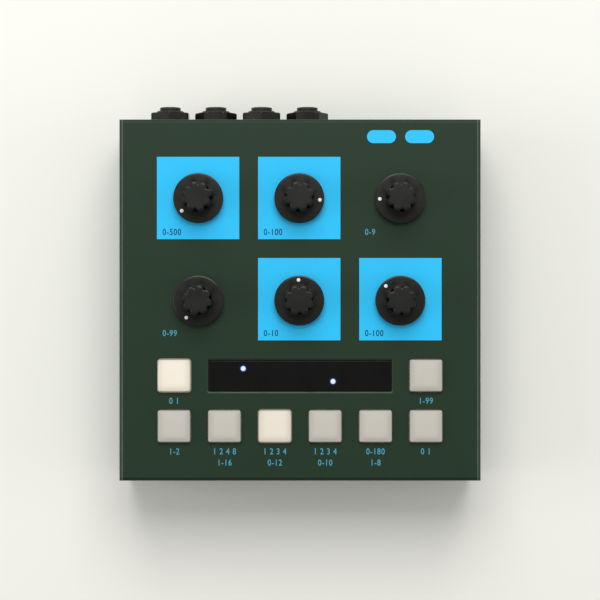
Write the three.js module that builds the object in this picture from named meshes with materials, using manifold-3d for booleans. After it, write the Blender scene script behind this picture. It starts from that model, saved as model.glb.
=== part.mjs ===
// A square desktop delay processor: a folded steel case with six knobs, eight lit buttons,
// a display window on top and its sockets on the rear.
// Millimetres, +Z up, +Y towards the rear, origin at the middle of the footprint on the table.
import * as THREE from "three";
import { mergeVertices } from "three/addons/utils/BufferGeometryUtils.js";
import Module from "manifold-3d";

// Clearances and modelling allowances
const seatGap = 0.3; // between pieces that rest on or are fixed to each other
const runningGap = 0.3; // round a piece that turns or slides in another
const cutOverrun = 1; // how far a cutting shape runs past the face that it opens
const rootDepth = 0.3; // how deep a joined feature is rooted in its carrier
const weldDistance = 1e-4; // vertices closer than this are one

// Case, folded from one sheet
const caseWidth = 145.2;
const caseDepth = 145.2;
const caseHeight = 42;
const sheetThickness = 1.2;
const innerBendRadius = 0.3; // of each folded edge
const flangeWidth = 13; // inward flanges at the foot of the left and right walls
const flangeEndGap = 6; // from a flange's end to the front or rear wall
const clinchNutRadius = 3.2;
const clinchNutHeight = 2.5;

// Bottom plate, its feet and the screws that hold both
const plateThickness = 1.2;
const plateInset = 0.4; // the plate stops this far inside the case's outline
const footRadius = 6.5;
const footTopRadius = 7;
const footHeight = 4;
const footInset = 8; // from the case's outline to a foot's middle, left and right
const footEndInset = 13; // the same at the front and rear
const footRecessDepth = 2.4;
const footRecessGap = 0.6; // round the screw head in its recess
const screwRadius = 1.5;
const screwLength = 8.2;
const screwHeadRadius = 2.8;
const screwHeadHeight = 1.7;
const crossSlotWidth = 0.7;
const crossSlotLength = 3.2;
const crossSlotDepth = 0.9;

// Knob grid: three columns and two rows
const knobColumnShare = 0.2786; // of the case's width from one column to the next
const knobRowShare = 0.2823; // of the case's depth from one row to the next
const knobColumnShift = -0.3; // of the middle column from the case's middle
const knobRowShift = -0.3; // of the front row from the case's middle

// Knobs: a skirt and a fluted grip in one moulding
const skirtRadius = 10;
const skirtLift = 0.8; // from the panel to the skirt's underside
const skirtEdgeHeight = 2;
const skirtBevel = 0.4;
const skirtRise = 0.4; // of the skirt's top from its bevel to the grip
const gripRadius = 6.35; // at the skirt
const gripTopRadius = 5.3;
const gripBevel = 0.5;
const knobHeight = 15; // from the panel to the grip's flat top
const fluteCount = 8;
const fluteDepth = 1;
const fluteSharpness = 2; // a higher power makes the flutes narrower
const pointerRadius = 8.25; // of the pointer dot's middle from the knob's axis
const pointerDotRadius = 0.85;
const pointerDotSink = 0.5; // of its dimple in the skirt

// Potentiometers
const potWidth = 9.8;
const potDepth = 11;
const potHeight = 7;
const bushRadius = 3.5;
const bushHeight = 2.4; // above the panel
const potNutAcrossFlats = 9;
const potNutHeight = 1.6;
const shaftRadius = 3; // in the knob
const shaftNeckRadius = 2; // in the bush
const shaftLength = 12.4; // above the panel
const shaftTail = 4; // into the potentiometer's body

// Button grid: six columns, with a second row at its two ends
const buttonColumnShare = 0.1391; // of the case's width from one column to the next
const buttonRowPitch = 20.3;
const buttonColumns = 6;
const buttonRowSetback = 22; // from the case's front face to the front row's middle

// Button caps, hollow and milky, each with a retaining rim under the panel
const capWidth = 13.05;
const capEdgeRadius = 0.7; // round the top face
const capCornerExtra = 0.4; // of the upright corners' radius over the edge radius
const capHeight = 2.6; // above the panel
const capWall = 1.3;
const capGap = 0.35; // round a cap in its cut-out
const capRimWidth = 0.95; // beyond the cap's side
const capRimHeight = 1;
const capPostRadius = 1.5;
const capPostReach = 1.2; // into the switch
const buttonTravel = 0.8;

// Push switches
const switchWidth = 10;
const switchHeight = 4;

// Display window and the lights behind it
const windowHeight = 12.8;
const windowShift = 0.15; // the window sits this much further forward than the rear button row
const windowCornerRadius = 0.5;
const windowCutBevel = 0.6; // round the upper edge of its cut-out
const windowRecess = 0.25; // the lens lies this far below the panel
const windowRimWidth = 2;
const windowRimHeight = 1.5;
const lightPitch = 5.15;
const lightColumns = 10;
const lightRows = 2;
const lightShift = 0.38; // of the light grid from the case's middle
const lightRowShift = 0.2; // of the light grid from the rear button row
const lightWidth = 2;
const lightHeight = 1;
const lightHoleRadius = 1.9;
const spacerMargin = 2.2; // from the outer light holes to the spacer's edge

// Circuit boards
const boardThickness = 1.6;
const boardSideGap = 3; // from a board's edge to the inside of the case
const controlBoardRearMargin = 1.8; // behind the rear potentiometers
const mainBoardDepth = 110;
const mainBoardRearGap = 0.8;

// Parts on the main board
const processorWidth = 20;
const processorHeight = 1.6;
const regulatorWidth = 16;
const regulatorDepth = 6;
const regulatorHeight = 11;
const capacitorRadius = 4;
const capacitorHeight = 10;
const capacitorCount = 4;
const capacitorSpacing = 11;

// Standoffs pressed into the bottom plate
const standoffRadius = 3;
const standoffPinRadius = 1.4;
const standoffPinReach = 1; // above the main board
const standoffInset = 27; // from the inside of the case to a standoff, left and right
const standoffFrontInset = 6; // from the main board's front edge
const standoffRearInset = 36; // from the main board's rear edge

// Connector between the boards
const linkWidth = 25.4;
const linkDepth = 5;
const linkHousingHeight = 6;
const linkPinCount = 10;
const linkPinWidth = 0.64;
const linkSetback = 12; // in front of the front knob row

// Jack sockets on the rear wall
const jackCount = 4;
const jackAxisShare = 0.4762; // of the case's height from its foot to the jacks' axis
const jackBodyWidth = 15.6;
const jackBodyHeight = 15;
const jackBodyDepth = 24;
const jackBoreRadius = 3.25;
const jackBoreDepth = 21;
const jackThreadRadius = 4.9;
const jackNeckRadius = 3.85;
const jackRingRadius = 4.2;
const jackNeckHeight = 0.55;
const jackRingHeight = 0.95;
const jackRingBevel = 0.2;

// Nuts on the jack sockets
const jackNutAcrossFlats = 15.2;
const jackNutHexHeight = 3.7;
const jackNutConeRadius = 7.1;
const jackNutConeTopRadius = 5.5;
const jackNutConeHeight = 1.4;

// Five-pin control sockets and the power inlet, both flush with the rear wall
const dinCount = 2;
const dinBodyWidth = 18;
const dinBodyHeight = 19.5;
const dinBodyDepth = 12;
const dinFaceRadius = 7.5;
const dinFaceRise = 0.2; // in front of the wall
const dinGrooveRadius = 6.7;
const dinGrooveWidth = 0.7;
const dinGrooveDepth = 6;
const dinPinRadius = 0.8;
const dinPinCircleRadius = 3.5;
const dinPinCount = 5;
const inletBodyWidth = 9;
const inletBodyHeight = 11;
const inletBodyDepth = 14;
const inletAxisHeight = 6.5; // above the main board
const inletFaceRadius = 4.1;
const inletBoreRadius = 3.2;
const inletBoreDepth = 9.5;
const inletPinRadius = 1;
const inletPinSink = 0.6; // behind the inlet's face

// Shares of the rear wall's spare width left free before each jack nut, control socket and the inlet,
// from left to right; the rest is free at the right
const rearGapShares = [0.335, 0.045, 0.045, 0.045, 0.3233, 0.0738, 0.0443];

// Facets of round shapes
const skirtSegments = 32;
const roundSegments = 16;
const smallSegments = 8;
const wallHoleSegments = 32;
const bendSegments = 6;
const capSegments = 2;

// The knobs as photographed: column and row in the grid, and the pointer's direction in degrees
// counter-clockwise from +X
const knobs = [
  { name: "time", column: -1, row: 1, pointer: 218 },
  { name: "feedback", column: 0, row: 1, pointer: 356.3 },
  { name: "mix", column: 1, row: 1, pointer: 180.6 },
  { name: "value", column: -1, row: 0, pointer: 234 },
  { name: "rate", column: 0, row: 0, pointer: 93 },
  { name: "depth", column: 1, row: 0, pointer: 134.5 },
];

// The buttons: column from the left and row from the front
const buttons = [
  { name: "bypass", column: 0, row: 1 },
  { name: "memory", column: 5, row: 1 },
  { name: "tap", column: 0, row: 0 },
  { name: "division", column: 1, row: 0 },
  { name: "effect", column: 2, row: 0 },
  { name: "filter", column: 3, row: 0 },
  { name: "offset", column: 4, row: 0 },
  { name: "hold", column: 5, row: 0 },
];

// Finishes: colour, roughness and metalness
const finishes = {
  casePaint: [0x323f35, 0.55, 0.1],
  knobPlastic: [0x2f2f2d, 0.6, 0],
  socketPlastic: [0x262624, 0.5, 0],
  capPlastic: [0xc6c2b7, 0.45, 0],
  litCapPlastic: [0xf2ebdc, 0.45, 0],
  windowPlastic: [0x1e1e1c, 0.15, 0],
  spacerPlastic: [0x1a1a1a, 0.7, 0],
  rubber: [0x232323, 0.85, 0],
  steel: [0xb9bcbd, 0.35, 1],
  shaftMetal: [0xc9c9c4, 0.4, 1],
  board: [0x1f4a33, 0.5, 0],
  switchPlastic: [0x2b2b2b, 0.5, 0],
};

// Heights above the table
const plateBottom = footHeight + seatGap;
const plateTop = plateBottom + plateThickness;
const caseBottom = plateTop + seatGap;
const panelTop = caseBottom + caseHeight;
const panelUnder = panelTop - sheetThickness;
const potTop = panelUnder - seatGap;
const controlBoardTop = potTop - potHeight - seatGap;
const controlBoardBottom = controlBoardTop - boardThickness;
const jackAxis = caseBottom + jackAxisShare * caseHeight;
const mainBoardTop = jackAxis - jackBodyHeight / 2 - seatGap;
const mainBoardBottom = mainBoardTop - boardThickness;
const screwHeadTop = footRecessDepth - seatGap;
const rimTop = -(sheetThickness + seatGap); // of what is held up under the panel, from the panel's top

// Places on the plan, from the middle of the case
const caseFront = -caseDepth / 2;
const rearWallOutside = caseDepth / 2;
const rearWallInside = rearWallOutside - sheetThickness;
const insideHalfWidth = caseWidth / 2 - sheetThickness;
const boardHalfWidth = insideHalfWidth - boardSideGap;
const frontButtonRow = caseFront + buttonRowSetback;
const rearButtonRow = frontButtonRow + buttonRowPitch;
const buttonColumnPitch = buttonColumnShare * caseWidth;
const windowWidth = (buttonColumns / 2) * buttonColumnPitch + capWidth;
const windowRow = rearButtonRow - windowShift;
const lightRow = rearButtonRow + lightRowShift;
const controlBoardFront = caseFront + sheetThickness + boardSideGap;
const knobColumnPitch = knobColumnShare * caseWidth;
const knobRowPitch = knobRowShare * caseDepth;
const controlBoardRear = knobRowShift + knobRowPitch + potDepth / 2 + controlBoardRearMargin;
const mainBoardRear = rearWallInside - mainBoardRearGap;
const mainBoardFront = mainBoardRear - mainBoardDepth;
const bendRadius = innerBendRadius + sheetThickness;
const capCornerRadius = capEdgeRadius + capCornerExtra;
const jackNutAcrossCorners = jackNutAcrossFlats / Math.cos(Math.PI / 6);
const jackNutReach = seatGap + jackNutHexHeight + jackNutConeHeight; // from the rear wall
const jackReach = jackNutReach + jackNeckHeight + jackRingHeight;
const footColumn = caseWidth / 2 - footInset;
const footRow = caseDepth / 2 - footEndInset;

const wasm = await Module();
wasm.setup();

// Solids and cuts

/** The manifold solid of a closed three.js geometry. */
function solid(geometry) {
  const bare = geometry.clone();
  bare.deleteAttribute("normal");
  bare.deleteAttribute("uv");
  const merged = mergeVertices(bare, weldDistance);
  const triangles = [];
  const index = merged.index.array;
  for (let i = 0; i < index.length; i += 3) {
    const [a, b, c] = [index[i], index[i + 1], index[i + 2]];
    if (a !== b && b !== c && c !== a) triangles.push(a, b, c);
  }
  const mesh = new wasm.Mesh({
    numProp: 3,
    vertProperties: merged.attributes.position.array,
    triVerts: new Uint32Array(triangles),
  });
  return new wasm.Manifold(mesh);
}

/** A three.js geometry of a manifold solid, with flat faces. */
function geometryOf(body) {
  const mesh = body.getMesh();
  const geometry = new THREE.BufferGeometry();
  geometry.setAttribute("position", new THREE.BufferAttribute(mesh.vertProperties, 3));
  geometry.setIndex(new THREE.BufferAttribute(mesh.triVerts, 1));
  const flat = geometry.toNonIndexed();
  flat.computeVertexNormals();
  return flat;
}

/** The first solid joined with all the others. */
function join(first, ...others) {
  return others.reduce((body, other) => body.add(other), first);
}

/** The first solid with all the others cut away. */
function cut(first, ...others) {
  return others.reduce((body, other) => body.subtract(other), first);
}

/** A copy of a solid moved to each place on the plan. */
function atEach(places, body) {
  return places.map(({ x, y }) => body.translate([x, y, 0]));
}

// Shapes that stand on z = low and reach up to z = high

/** A straight round bar, or a cone where topRadius is given. */
function bar(radius, low, high, segments = roundSegments, topRadius = radius) {
  const geometry = new THREE.CylinderGeometry(topRadius, radius, high - low, segments);
  geometry.rotateX(Math.PI / 2);
  geometry.translate(0, 0, (low + high) / 2);
  return solid(geometry);
}

/** A box around the axis. */
function block(width, depth, low, high) {
  const geometry = new THREE.BoxGeometry(width, depth, high - low);
  geometry.translate(0, 0, (low + high) / 2);
  return solid(geometry);
}

/** A rectangle with round corners. */
function roundedRectangle(width, depth, radius) {
  const x = width / 2 - radius;
  const y = depth / 2 - radius;
  const shape = new THREE.Shape();
  shape.absarc(x, y, radius, 0, Math.PI / 2);
  shape.absarc(-x, y, radius, Math.PI / 2, Math.PI);
  shape.absarc(-x, -y, radius, Math.PI, 1.5 * Math.PI);
  shape.absarc(x, -y, radius, 1.5 * Math.PI, 2 * Math.PI);
  shape.closePath();
  return shape;
}

/** A plate with round corners. */
function roundedBlock(width, depth, radius, low, high) {
  const geometry = new THREE.ExtrudeGeometry(roundedRectangle(width, depth, radius), {
    depth: high - low,
    bevelEnabled: false,
    curveSegments: capSegments,
  });
  geometry.translate(0, 0, low);
  return solid(geometry);
}

/** The corners of a rectangle with round corners, at one height. */
function outlineAt(level, width, depth, radius) {
  const points = roundedRectangle(width, depth, radius).getPoints(capSegments);
  return points.map(({ x, y }) => [x, y, level]);
}

/** The cutting shape of a hole with round corners whose edge at z = high is bevelled. */
function bevelledHole(width, depth, radius, bevel, low, high) {
  const reach = bevel + cutOverrun;
  const flare = wasm.Manifold.hull([
    ...outlineAt(high - bevel, width, depth, radius),
    ...outlineAt(high + cutOverrun, width + 2 * reach, depth + 2 * reach, radius + reach),
  ]);
  return join(roundedBlock(width, depth, radius, low, high), flare);
}

/** A hexagonal bar with a flat on each side of the Y axis. */
function hexagon(acrossFlats, low, high) {
  return bar(acrossFlats / 2 / Math.cos(Math.PI / 6), low, high, 6);
}

/** A solid turned about Z, from points of radius and height that run up from the axis and back to it. */
function turned(points, segments = roundSegments) {
  const profile = points.map(([radius, height]) => new THREE.Vector2(radius, height));
  const geometry = new THREE.LatheGeometry(profile, segments);
  geometry.rotateX(Math.PI / 2);
  return solid(geometry);
}

// The scene graph: everything is placed from the middle of the case's plan

const instrument = new THREE.Group();
const fromCaseMiddle = new THREE.Group();
fromCaseMiddle.position.y = -jackReach / 2;
instrument.add(fromCaseMiddle);

/** A named mesh of a solid in one of the finishes. */
function piece(name, body, finish) {
  const [color, roughness, metalness] = finishes[finish];
  const material = new THREE.MeshStandardMaterial({ color, roughness, metalness });
  const mesh = new THREE.Mesh(geometryOf(body), material);
  mesh.name = name;
  return mesh;
}

/** Adds a mesh or group at a place on the plan and a height. */
function put(object, x, y, z) {
  object.position.set(x, y, z);
  fromCaseMiddle.add(object);
  return object;
}

/** Adds a piece whose own +Z points out of the rear wall and whose own -Y points up. */
function putOnRear(object, x, z) {
  object.rotation.x = -Math.PI / 2;
  return put(object, x, rearWallOutside, z);
}

// Places of the knobs, buttons, feet and rear sockets

const knobPlaces = knobs.map(({ name, column, row, pointer }) => ({
  name,
  pointer,
  x: knobColumnShift + column * knobColumnPitch,
  y: knobRowShift + row * knobRowPitch,
}));

const buttonPlaces = buttons.map(({ name, column, row }) => ({
  name,
  x: (column - (buttonColumns - 1) / 2) * buttonColumnPitch,
  y: row === 0 ? frontButtonRow : rearButtonRow,
}));

const footPlaces = [
  { name: "front_left", x: -footColumn, y: -footRow },
  { name: "front_right", x: footColumn, y: -footRow },
  { name: "rear_left", x: -footColumn, y: footRow },
  { name: "rear_right", x: footColumn, y: footRow },
];

const standoffPlaces = [-1, 1].flatMap((side) => [
  { x: side * (insideHalfWidth - standoffInset), y: mainBoardFront + standoffFrontInset },
  { x: side * (insideHalfWidth - standoffInset), y: mainBoardRear - standoffRearInset },
]);

const rearWidths = [
  ...Array(jackCount).fill(jackNutAcrossCorners),
  ...Array(dinCount).fill(dinBodyWidth),
  inletBodyWidth,
];
const rearSpareWidth = 2 * insideHalfWidth - rearWidths.reduce((sum, width) => sum + width, 0);
const rearColumns = [];
let rearReach = -insideHalfWidth; // the right edge of what is placed on the rear wall so far
rearWidths.forEach((width, i) => {
  rearReach += rearGapShares[i] * rearSpareWidth;
  rearColumns.push(rearReach + width / 2);
  rearReach += width;
});
const jackColumns = rearColumns.slice(0, jackCount);
const dinColumns = rearColumns.slice(jackCount, jackCount + dinCount);
const inletColumn = rearColumns[jackCount + dinCount];

const dinAxis = mainBoardTop + seatGap + dinBodyHeight / 2;
const inletAxis = mainBoardTop + inletAxisHeight;

const lightPlaces = [];
for (let column = 0; column < lightColumns; column += 1) {
  for (let row = 0; row < lightRows; row += 1) {
    lightPlaces.push({
      x: lightShift + (column - (lightColumns - 1) / 2) * lightPitch,
      y: lightRow + (row - (lightRows - 1) / 2) * lightPitch,
    });
  }
}

// Case

/** A bar along Y whose section stands on z = low, with its own radii at the top and bottom corners. */
function foldedBar(width, length, low, high, topRadius, bottomRadius) {
  const x = width / 2;
  const shape = new THREE.Shape();
  shape.moveTo(x - bottomRadius, low);
  if (bottomRadius > 0) {
    shape.absarc(x - bottomRadius, low + bottomRadius, bottomRadius, -Math.PI / 2, 0);
  }
  shape.lineTo(x, high - topRadius);
  shape.absarc(x - topRadius, high - topRadius, topRadius, 0, Math.PI / 2);
  shape.absarc(topRadius - x, high - topRadius, topRadius, Math.PI / 2, Math.PI);
  shape.lineTo(-x, low + bottomRadius);
  if (bottomRadius > 0) {
    shape.absarc(bottomRadius - x, low + bottomRadius, bottomRadius, Math.PI, 1.5 * Math.PI);
  }
  shape.closePath();
  const geometry = new THREE.ExtrudeGeometry(shape, {
    depth: length,
    bevelEnabled: false,
    curveSegments: bendSegments,
  });
  geometry.rotateX(Math.PI / 2);
  geometry.translate(0, length / 2, 0);
  return solid(geometry);
}

/** The sheet's outside or inside: what two crossed bars with folded corners have in common. */
function foldedTray(inset, low, radius) {
  const width = caseWidth - 2 * inset;
  const depth = caseDepth - 2 * inset;
  const high = caseHeight - inset;
  const across = foldedBar(width, depth + 2 * cutOverrun, low, high, radius, radius);
  const along = foldedBar(depth, width + 2 * cutOverrun, low - cutOverrun, high, radius, 0);
  return across.intersect(along.rotate([0, 0, 90]));
}

/** The folded cover, standing on z = 0, with every hole and cut-out. */
function topCoverBody() {
  const outside = foldedTray(0, 0, bendRadius);
  const inside = foldedTray(sheetThickness, sheetThickness, innerBendRadius);
  const insideDepth = caseDepth - 2 * sheetThickness;
  const low = -cutOverrun;
  const flangeTop = sheetThickness + cutOverrun;
  const mouth = block(2 * (insideHalfWidth - flangeWidth), insideDepth, low, flangeTop);
  const reliefs = atEach(
    [-1, 1].map((side) => ({ x: 0, y: (side * (insideDepth - flangeEndGap)) / 2 })),
    block(2 * insideHalfWidth, flangeEndGap, low, flangeTop),
  );
  const nutTop = sheetThickness + clinchNutHeight;
  const nut = bar(clinchNutRadius, sheetThickness - rootDepth, nutTop, smallSegments);
  const shell = join(cut(outside, inside, mouth, ...reliefs), ...atEach(footPlaces, nut));

  const panelLow = caseHeight - sheetThickness - cutOverrun;
  const panelHigh = caseHeight + cutOverrun;
  const screwHole = bar(screwRadius + seatGap, low, nutTop + cutOverrun, smallSegments);
  const potHole = bar(bushRadius + seatGap, panelLow, panelHigh, smallSegments);
  const capCutWidth = capWidth + 2 * capGap;
  const capCut = roundedBlock(capCutWidth, capCutWidth, capCornerRadius + capGap, panelLow, panelHigh);
  const windowCut = bevelledHole(
    windowWidth,
    windowHeight,
    windowCornerRadius,
    windowCutBevel,
    panelLow,
    caseHeight,
  );

  const wallHole = (radius, x, axis) =>
    bar(radius, -sheetThickness - cutOverrun, cutOverrun, wallHoleSegments)
      .rotate([-90, 0, 0])
      .translate([x, rearWallOutside, axis - caseBottom]);
  const jackHoles = jackColumns.map((x) => wallHole(jackThreadRadius + seatGap, x, jackAxis));
  const dinHoles = dinColumns.map((x) => wallHole(dinFaceRadius + seatGap, x, dinAxis));
  const inletHole = wallHole(inletFaceRadius + seatGap, inletColumn, inletAxis);
  return cut(
    shell,
    ...atEach(footPlaces, screwHole),
    ...atEach(knobPlaces, potHole),
    ...atEach(buttonPlaces, capCut),
    windowCut.translate([0, windowRow, 0]),
    ...jackHoles,
    ...dinHoles,
    inletHole,
  );
}

/** The flat bottom plate with its standoffs, standing on z = 0. */
function bottomPlateBody() {
  const boardLevel = mainBoardBottom - plateBottom;
  const plate = block(caseWidth - 2 * plateInset, caseDepth - 2 * plateInset, 0, plateThickness);
  const standoff = join(
    bar(standoffRadius, plateThickness - rootDepth, boardLevel - seatGap, smallSegments),
    bar(standoffPinRadius, plateThickness, boardLevel + boardThickness + standoffPinReach, smallSegments),
  );
  const hole = bar(screwRadius + seatGap, -cutOverrun, plateThickness + cutOverrun, smallSegments);
  return cut(join(plate, ...atEach(standoffPlaces, standoff)), ...atEach(footPlaces, hole));
}

/** A rubber foot with a recess for its screw. */
function footBody() {
  return cut(
    bar(footRadius, 0, footHeight, roundSegments, footTopRadius),
    bar(screwHeadRadius + footRecessGap, -cutOverrun, footRecessDepth),
    bar(screwRadius + seatGap, 0, footHeight + cutOverrun, smallSegments),
  );
}

/** A pan-head screw whose head lies below z = 0 and whose shank points up. */
function screwBody() {
  const rim = screwHeadHeight / 2;
  const head = turned([
    [0, -screwHeadHeight],
    [screwHeadRadius / 2, -screwHeadHeight],
    [screwHeadRadius, -rim],
    [screwHeadRadius, 0],
    [0, 0],
  ]);
  const shank = bar(screwRadius, -rim, screwLength, smallSegments);
  const slotLow = -screwHeadHeight - cutOverrun;
  const slotHigh = crossSlotDepth - screwHeadHeight;
  const slot = block(crossSlotLength, crossSlotWidth, slotLow, slotHigh);
  return cut(join(head, shank), slot, slot.rotate([0, 0, 90]));
}

put(piece("top_cover", topCoverBody(), "casePaint"), 0, 0, caseBottom);
put(piece("bottom_plate", bottomPlateBody(), "casePaint"), 0, 0, plateBottom);
for (const { name, x, y } of footPlaces) {
  put(piece(`foot_${name}`, footBody(), "rubber"), x, y, 0);
  put(piece(`case_screw_${name}`, screwBody(), "steel"), x, y, screwHeadTop);
}

// Knobs and potentiometers

/** The grip's radius at an angle: narrow flutes, the first one at +X, with round lobes between them. */
function fluted(radius, angle) {
  const flute = ((1 + Math.cos(fluteCount * angle)) / 2) ** fluteSharpness;
  return radius - fluteDepth * flute;
}

/** A knob over z = 0, the panel, with its pointer flute at +X. */
function knobBody() {
  const edgeTop = skirtLift + skirtEdgeHeight;
  const bevelTop = edgeTop + skirtBevel;
  const gripBase = bevelTop + skirtRise;
  const skirt = turned(
    [
      [0, skirtLift],
      [skirtRadius, skirtLift],
      [skirtRadius, edgeTop],
      [skirtRadius - skirtBevel, bevelTop],
      [gripRadius, gripBase],
      [0, gripBase],
    ],
    skirtSegments,
  );
  const rings = [
    [0, edgeTop],
    [gripRadius, edgeTop],
    [gripTopRadius + gripBevel, knobHeight - gripBevel],
    [gripTopRadius, knobHeight],
    [0, knobHeight],
  ].map(([radius, height]) => new THREE.Vector2(radius, height));
  const grip = new THREE.LatheGeometry(rings, skirtSegments);
  grip.rotateX(Math.PI / 2);
  const place = grip.attributes.position;
  for (let i = 0; i < place.count; i += 1) {
    const radius = Math.hypot(place.getX(i), place.getY(i));
    if (radius > 0) {
      const share = fluted(radius, Math.atan2(place.getY(i), place.getX(i))) / radius;
      place.setXY(i, place.getX(i) * share, place.getY(i) * share);
    }
  }
  const nutRecessRadius = potNutAcrossFlats / 2 / Math.cos(Math.PI / 6) + runningGap;
  const slopeRadius = skirtRadius - skirtBevel;
  const dotLevel = bevelTop + (skirtRise * (slopeRadius - pointerRadius)) / (slopeRadius - gripRadius);
  const dimple = bar(pointerDotRadius, dotLevel - pointerDotSink, knobHeight, smallSegments);
  return cut(
    join(skirt, solid(grip)),
    bar(nutRecessRadius, 0, bushHeight + runningGap),
    bar(shaftRadius + seatGap, 0, shaftLength + seatGap),
    dimple.translate([pointerRadius, 0, 0]),
  );
}

/** A potentiometer with its bush and the nut that holds it, under and through z = 0, the panel. */
function potBody() {
  const boreBottom = rimTop - shaftTail - runningGap;
  return cut(
    join(
      block(potWidth, potDepth, rimTop - potHeight, rimTop),
      bar(bushRadius, rimTop - rootDepth, bushHeight, smallSegments),
      hexagon(potNutAcrossFlats, seatGap, seatGap + potNutHeight),
    ),
    bar(shaftNeckRadius + runningGap, boreBottom, bushHeight + cutOverrun, smallSegments),
  );
}

/** A potentiometer's shaft, from inside its body to inside the knob. */
function shaftBody() {
  const shoulder = bushHeight + runningGap;
  return join(
    bar(shaftNeckRadius, rimTop - shaftTail, shoulder + rootDepth, smallSegments),
    bar(shaftRadius, shoulder, shaftLength, smallSegments),
  );
}

for (const { name, x, y, pointer } of knobPlaces) {
  put(piece(`${name}_pot`, potBody(), "steel"), x, y, panelTop);
  const turning = new THREE.Group();
  turning.rotation.z = THREE.MathUtils.degToRad(pointer);
  turning.add(piece(`${name}_shaft`, shaftBody(), "shaftMetal"));
  turning.add(piece(`${name}_knob`, knobBody(), "knobPlastic"));
  put(turning, x, y, panelTop);
}

// Buttons and switches

const switchTop = controlBoardTop + seatGap + switchHeight - panelTop;

/** A hollow cap through z = 0, the panel, with its rim below it and its post in the switch. */
function capBody() {
  const rimBottom = rimTop - capRimHeight;
  const rimWidth = capWidth + 2 * capRimWidth;
  const flatWidth = capWidth - 2 * capEdgeRadius;
  const crown = new THREE.ExtrudeGeometry(roundedRectangle(flatWidth, flatWidth, capCornerExtra), {
    depth: capHeight - rimBottom - 2 * capEdgeRadius,
    bevelSize: capEdgeRadius,
    bevelThickness: capEdgeRadius,
    bevelSegments: capSegments,
    curveSegments: capSegments,
  });
  crown.translate(0, 0, rimBottom + capEdgeRadius);
  const bore = capWidth - 2 * capWall;
  return join(
    cut(
      join(solid(crown), block(rimWidth, rimWidth, rimBottom, rimTop)),
      block(bore, bore, rimBottom - cutOverrun, capHeight - capWall),
    ),
    bar(capPostRadius, switchTop - capPostReach, capHeight - capWall + rootDepth, smallSegments),
  );
}

/** A push switch with a bore for the cap's post, in the panel's heights. */
function switchBody() {
  const boreBottom = switchTop - capPostReach - buttonTravel - runningGap;
  return cut(
    block(switchWidth, switchWidth, switchTop - switchHeight, switchTop),
    bar(capPostRadius + runningGap, boreBottom, switchTop + cutOverrun, smallSegments),
  );
}

for (const { name, x, y } of buttonPlaces) {
  const lit = name === "bypass" || name === "effect";
  put(piece(`${name}_switch`, switchBody(), "switchPlastic"), x, y, panelTop);
  put(piece(`${name}_button`, capBody(), lit ? "litCapPlastic" : "capPlastic"), x, y, panelTop);
}

// Display window and light spacer

const windowBottom = rimTop - windowRimHeight;

/** The smoked window, with a rim bonded under the panel. */
function windowBody() {
  return join(
    roundedBlock(
      windowWidth - 2 * seatGap,
      windowHeight - 2 * seatGap,
      windowCornerRadius,
      windowBottom,
      -windowRecess,
    ),
    block(windowWidth + 2 * windowRimWidth, windowHeight + 2 * windowRimWidth, windowBottom, rimTop),
  );
}

/** The block between the control board and the window, with a hole over each light. */
function spacerBody() {
  const reach = 2 * (lightHoleRadius + spacerMargin);
  const width = (lightColumns - 1) * lightPitch + reach;
  const depth = (lightRows - 1) * lightPitch + reach;
  const height = panelTop + windowBottom - controlBoardTop - 2 * seatGap;
  const hole = bar(lightHoleRadius, -cutOverrun, height + cutOverrun, smallSegments);
  const holes = atEach(lightPlaces, hole.translate([-lightShift, -lightRow, 0]));
  return cut(block(width, depth, 0, height), ...holes);
}

put(piece("display_window", windowBody(), "windowPlastic"), 0, windowRow, panelTop);
put(piece("light_spacer", spacerBody(), "spacerPlastic"), lightShift, lightRow, controlBoardTop + seatGap);

// Circuit boards and their link

/** The board that carries the potentiometers, switches and lights, in the plan's own places. */
function controlBoardBody() {
  const depth = controlBoardRear - controlBoardFront;
  const board = block(2 * boardHalfWidth, depth, 0, boardThickness);
  const light = block(lightWidth, lightWidth, boardThickness - rootDepth, boardThickness + lightHeight);
  const middle = (controlBoardFront + controlBoardRear) / 2;
  return join(board.translate([0, middle, 0]), ...atEach(lightPlaces, light));
}

/** The board that carries the sockets, the processor and the power supply, in the plan's own places. */
function mainBoardBody() {
  const middle = (mainBoardFront + mainBoardRear) / 2;
  const root = boardThickness - rootDepth;
  const board = block(2 * boardHalfWidth, mainBoardDepth, 0, boardThickness).translate([0, middle, 0]);
  const hole = bar(standoffPinRadius + seatGap, -cutOverrun, boardThickness + cutOverrun, smallSegments);
  const processor = block(processorWidth, processorWidth, root, boardThickness + processorHeight);
  const regulator = block(regulatorWidth, regulatorDepth, root, boardThickness + regulatorHeight);
  const side = boardHalfWidth - regulatorWidth;
  const capacitorPlaces = Array.from({ length: capacitorCount }, (_, i) => ({
    x: side,
    y: middle + (i - capacitorCount) * capacitorSpacing,
  }));
  const capacitor = bar(capacitorRadius, root, boardThickness + capacitorHeight, smallSegments);
  return join(
    cut(board, ...atEach(standoffPlaces, hole)),
    processor.translate([-2 * processorWidth, middle - processorWidth, 0]),
    regulator.translate([side, middle + regulatorDepth, 0]),
    ...atEach(capacitorPlaces, capacitor),
  );
}

/** The connector between the boards: a housing on each and a row of pins. */
function linkBody() {
  const height = controlBoardBottom - mainBoardTop - 2 * seatGap;
  const upperHousing = height - linkHousingHeight;
  const pinSpacing = linkWidth / linkPinCount;
  const pinPlaces = Array.from({ length: linkPinCount }, (_, i) => ({
    x: (i - (linkPinCount - 1) / 2) * pinSpacing,
    y: 0,
  }));
  const pin = block(linkPinWidth, linkPinWidth, linkHousingHeight - rootDepth, upperHousing + rootDepth);
  return join(
    block(linkWidth, linkDepth, 0, linkHousingHeight),
    block(linkWidth, linkDepth, upperHousing, height),
    ...atEach(pinPlaces, pin),
  );
}

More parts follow.
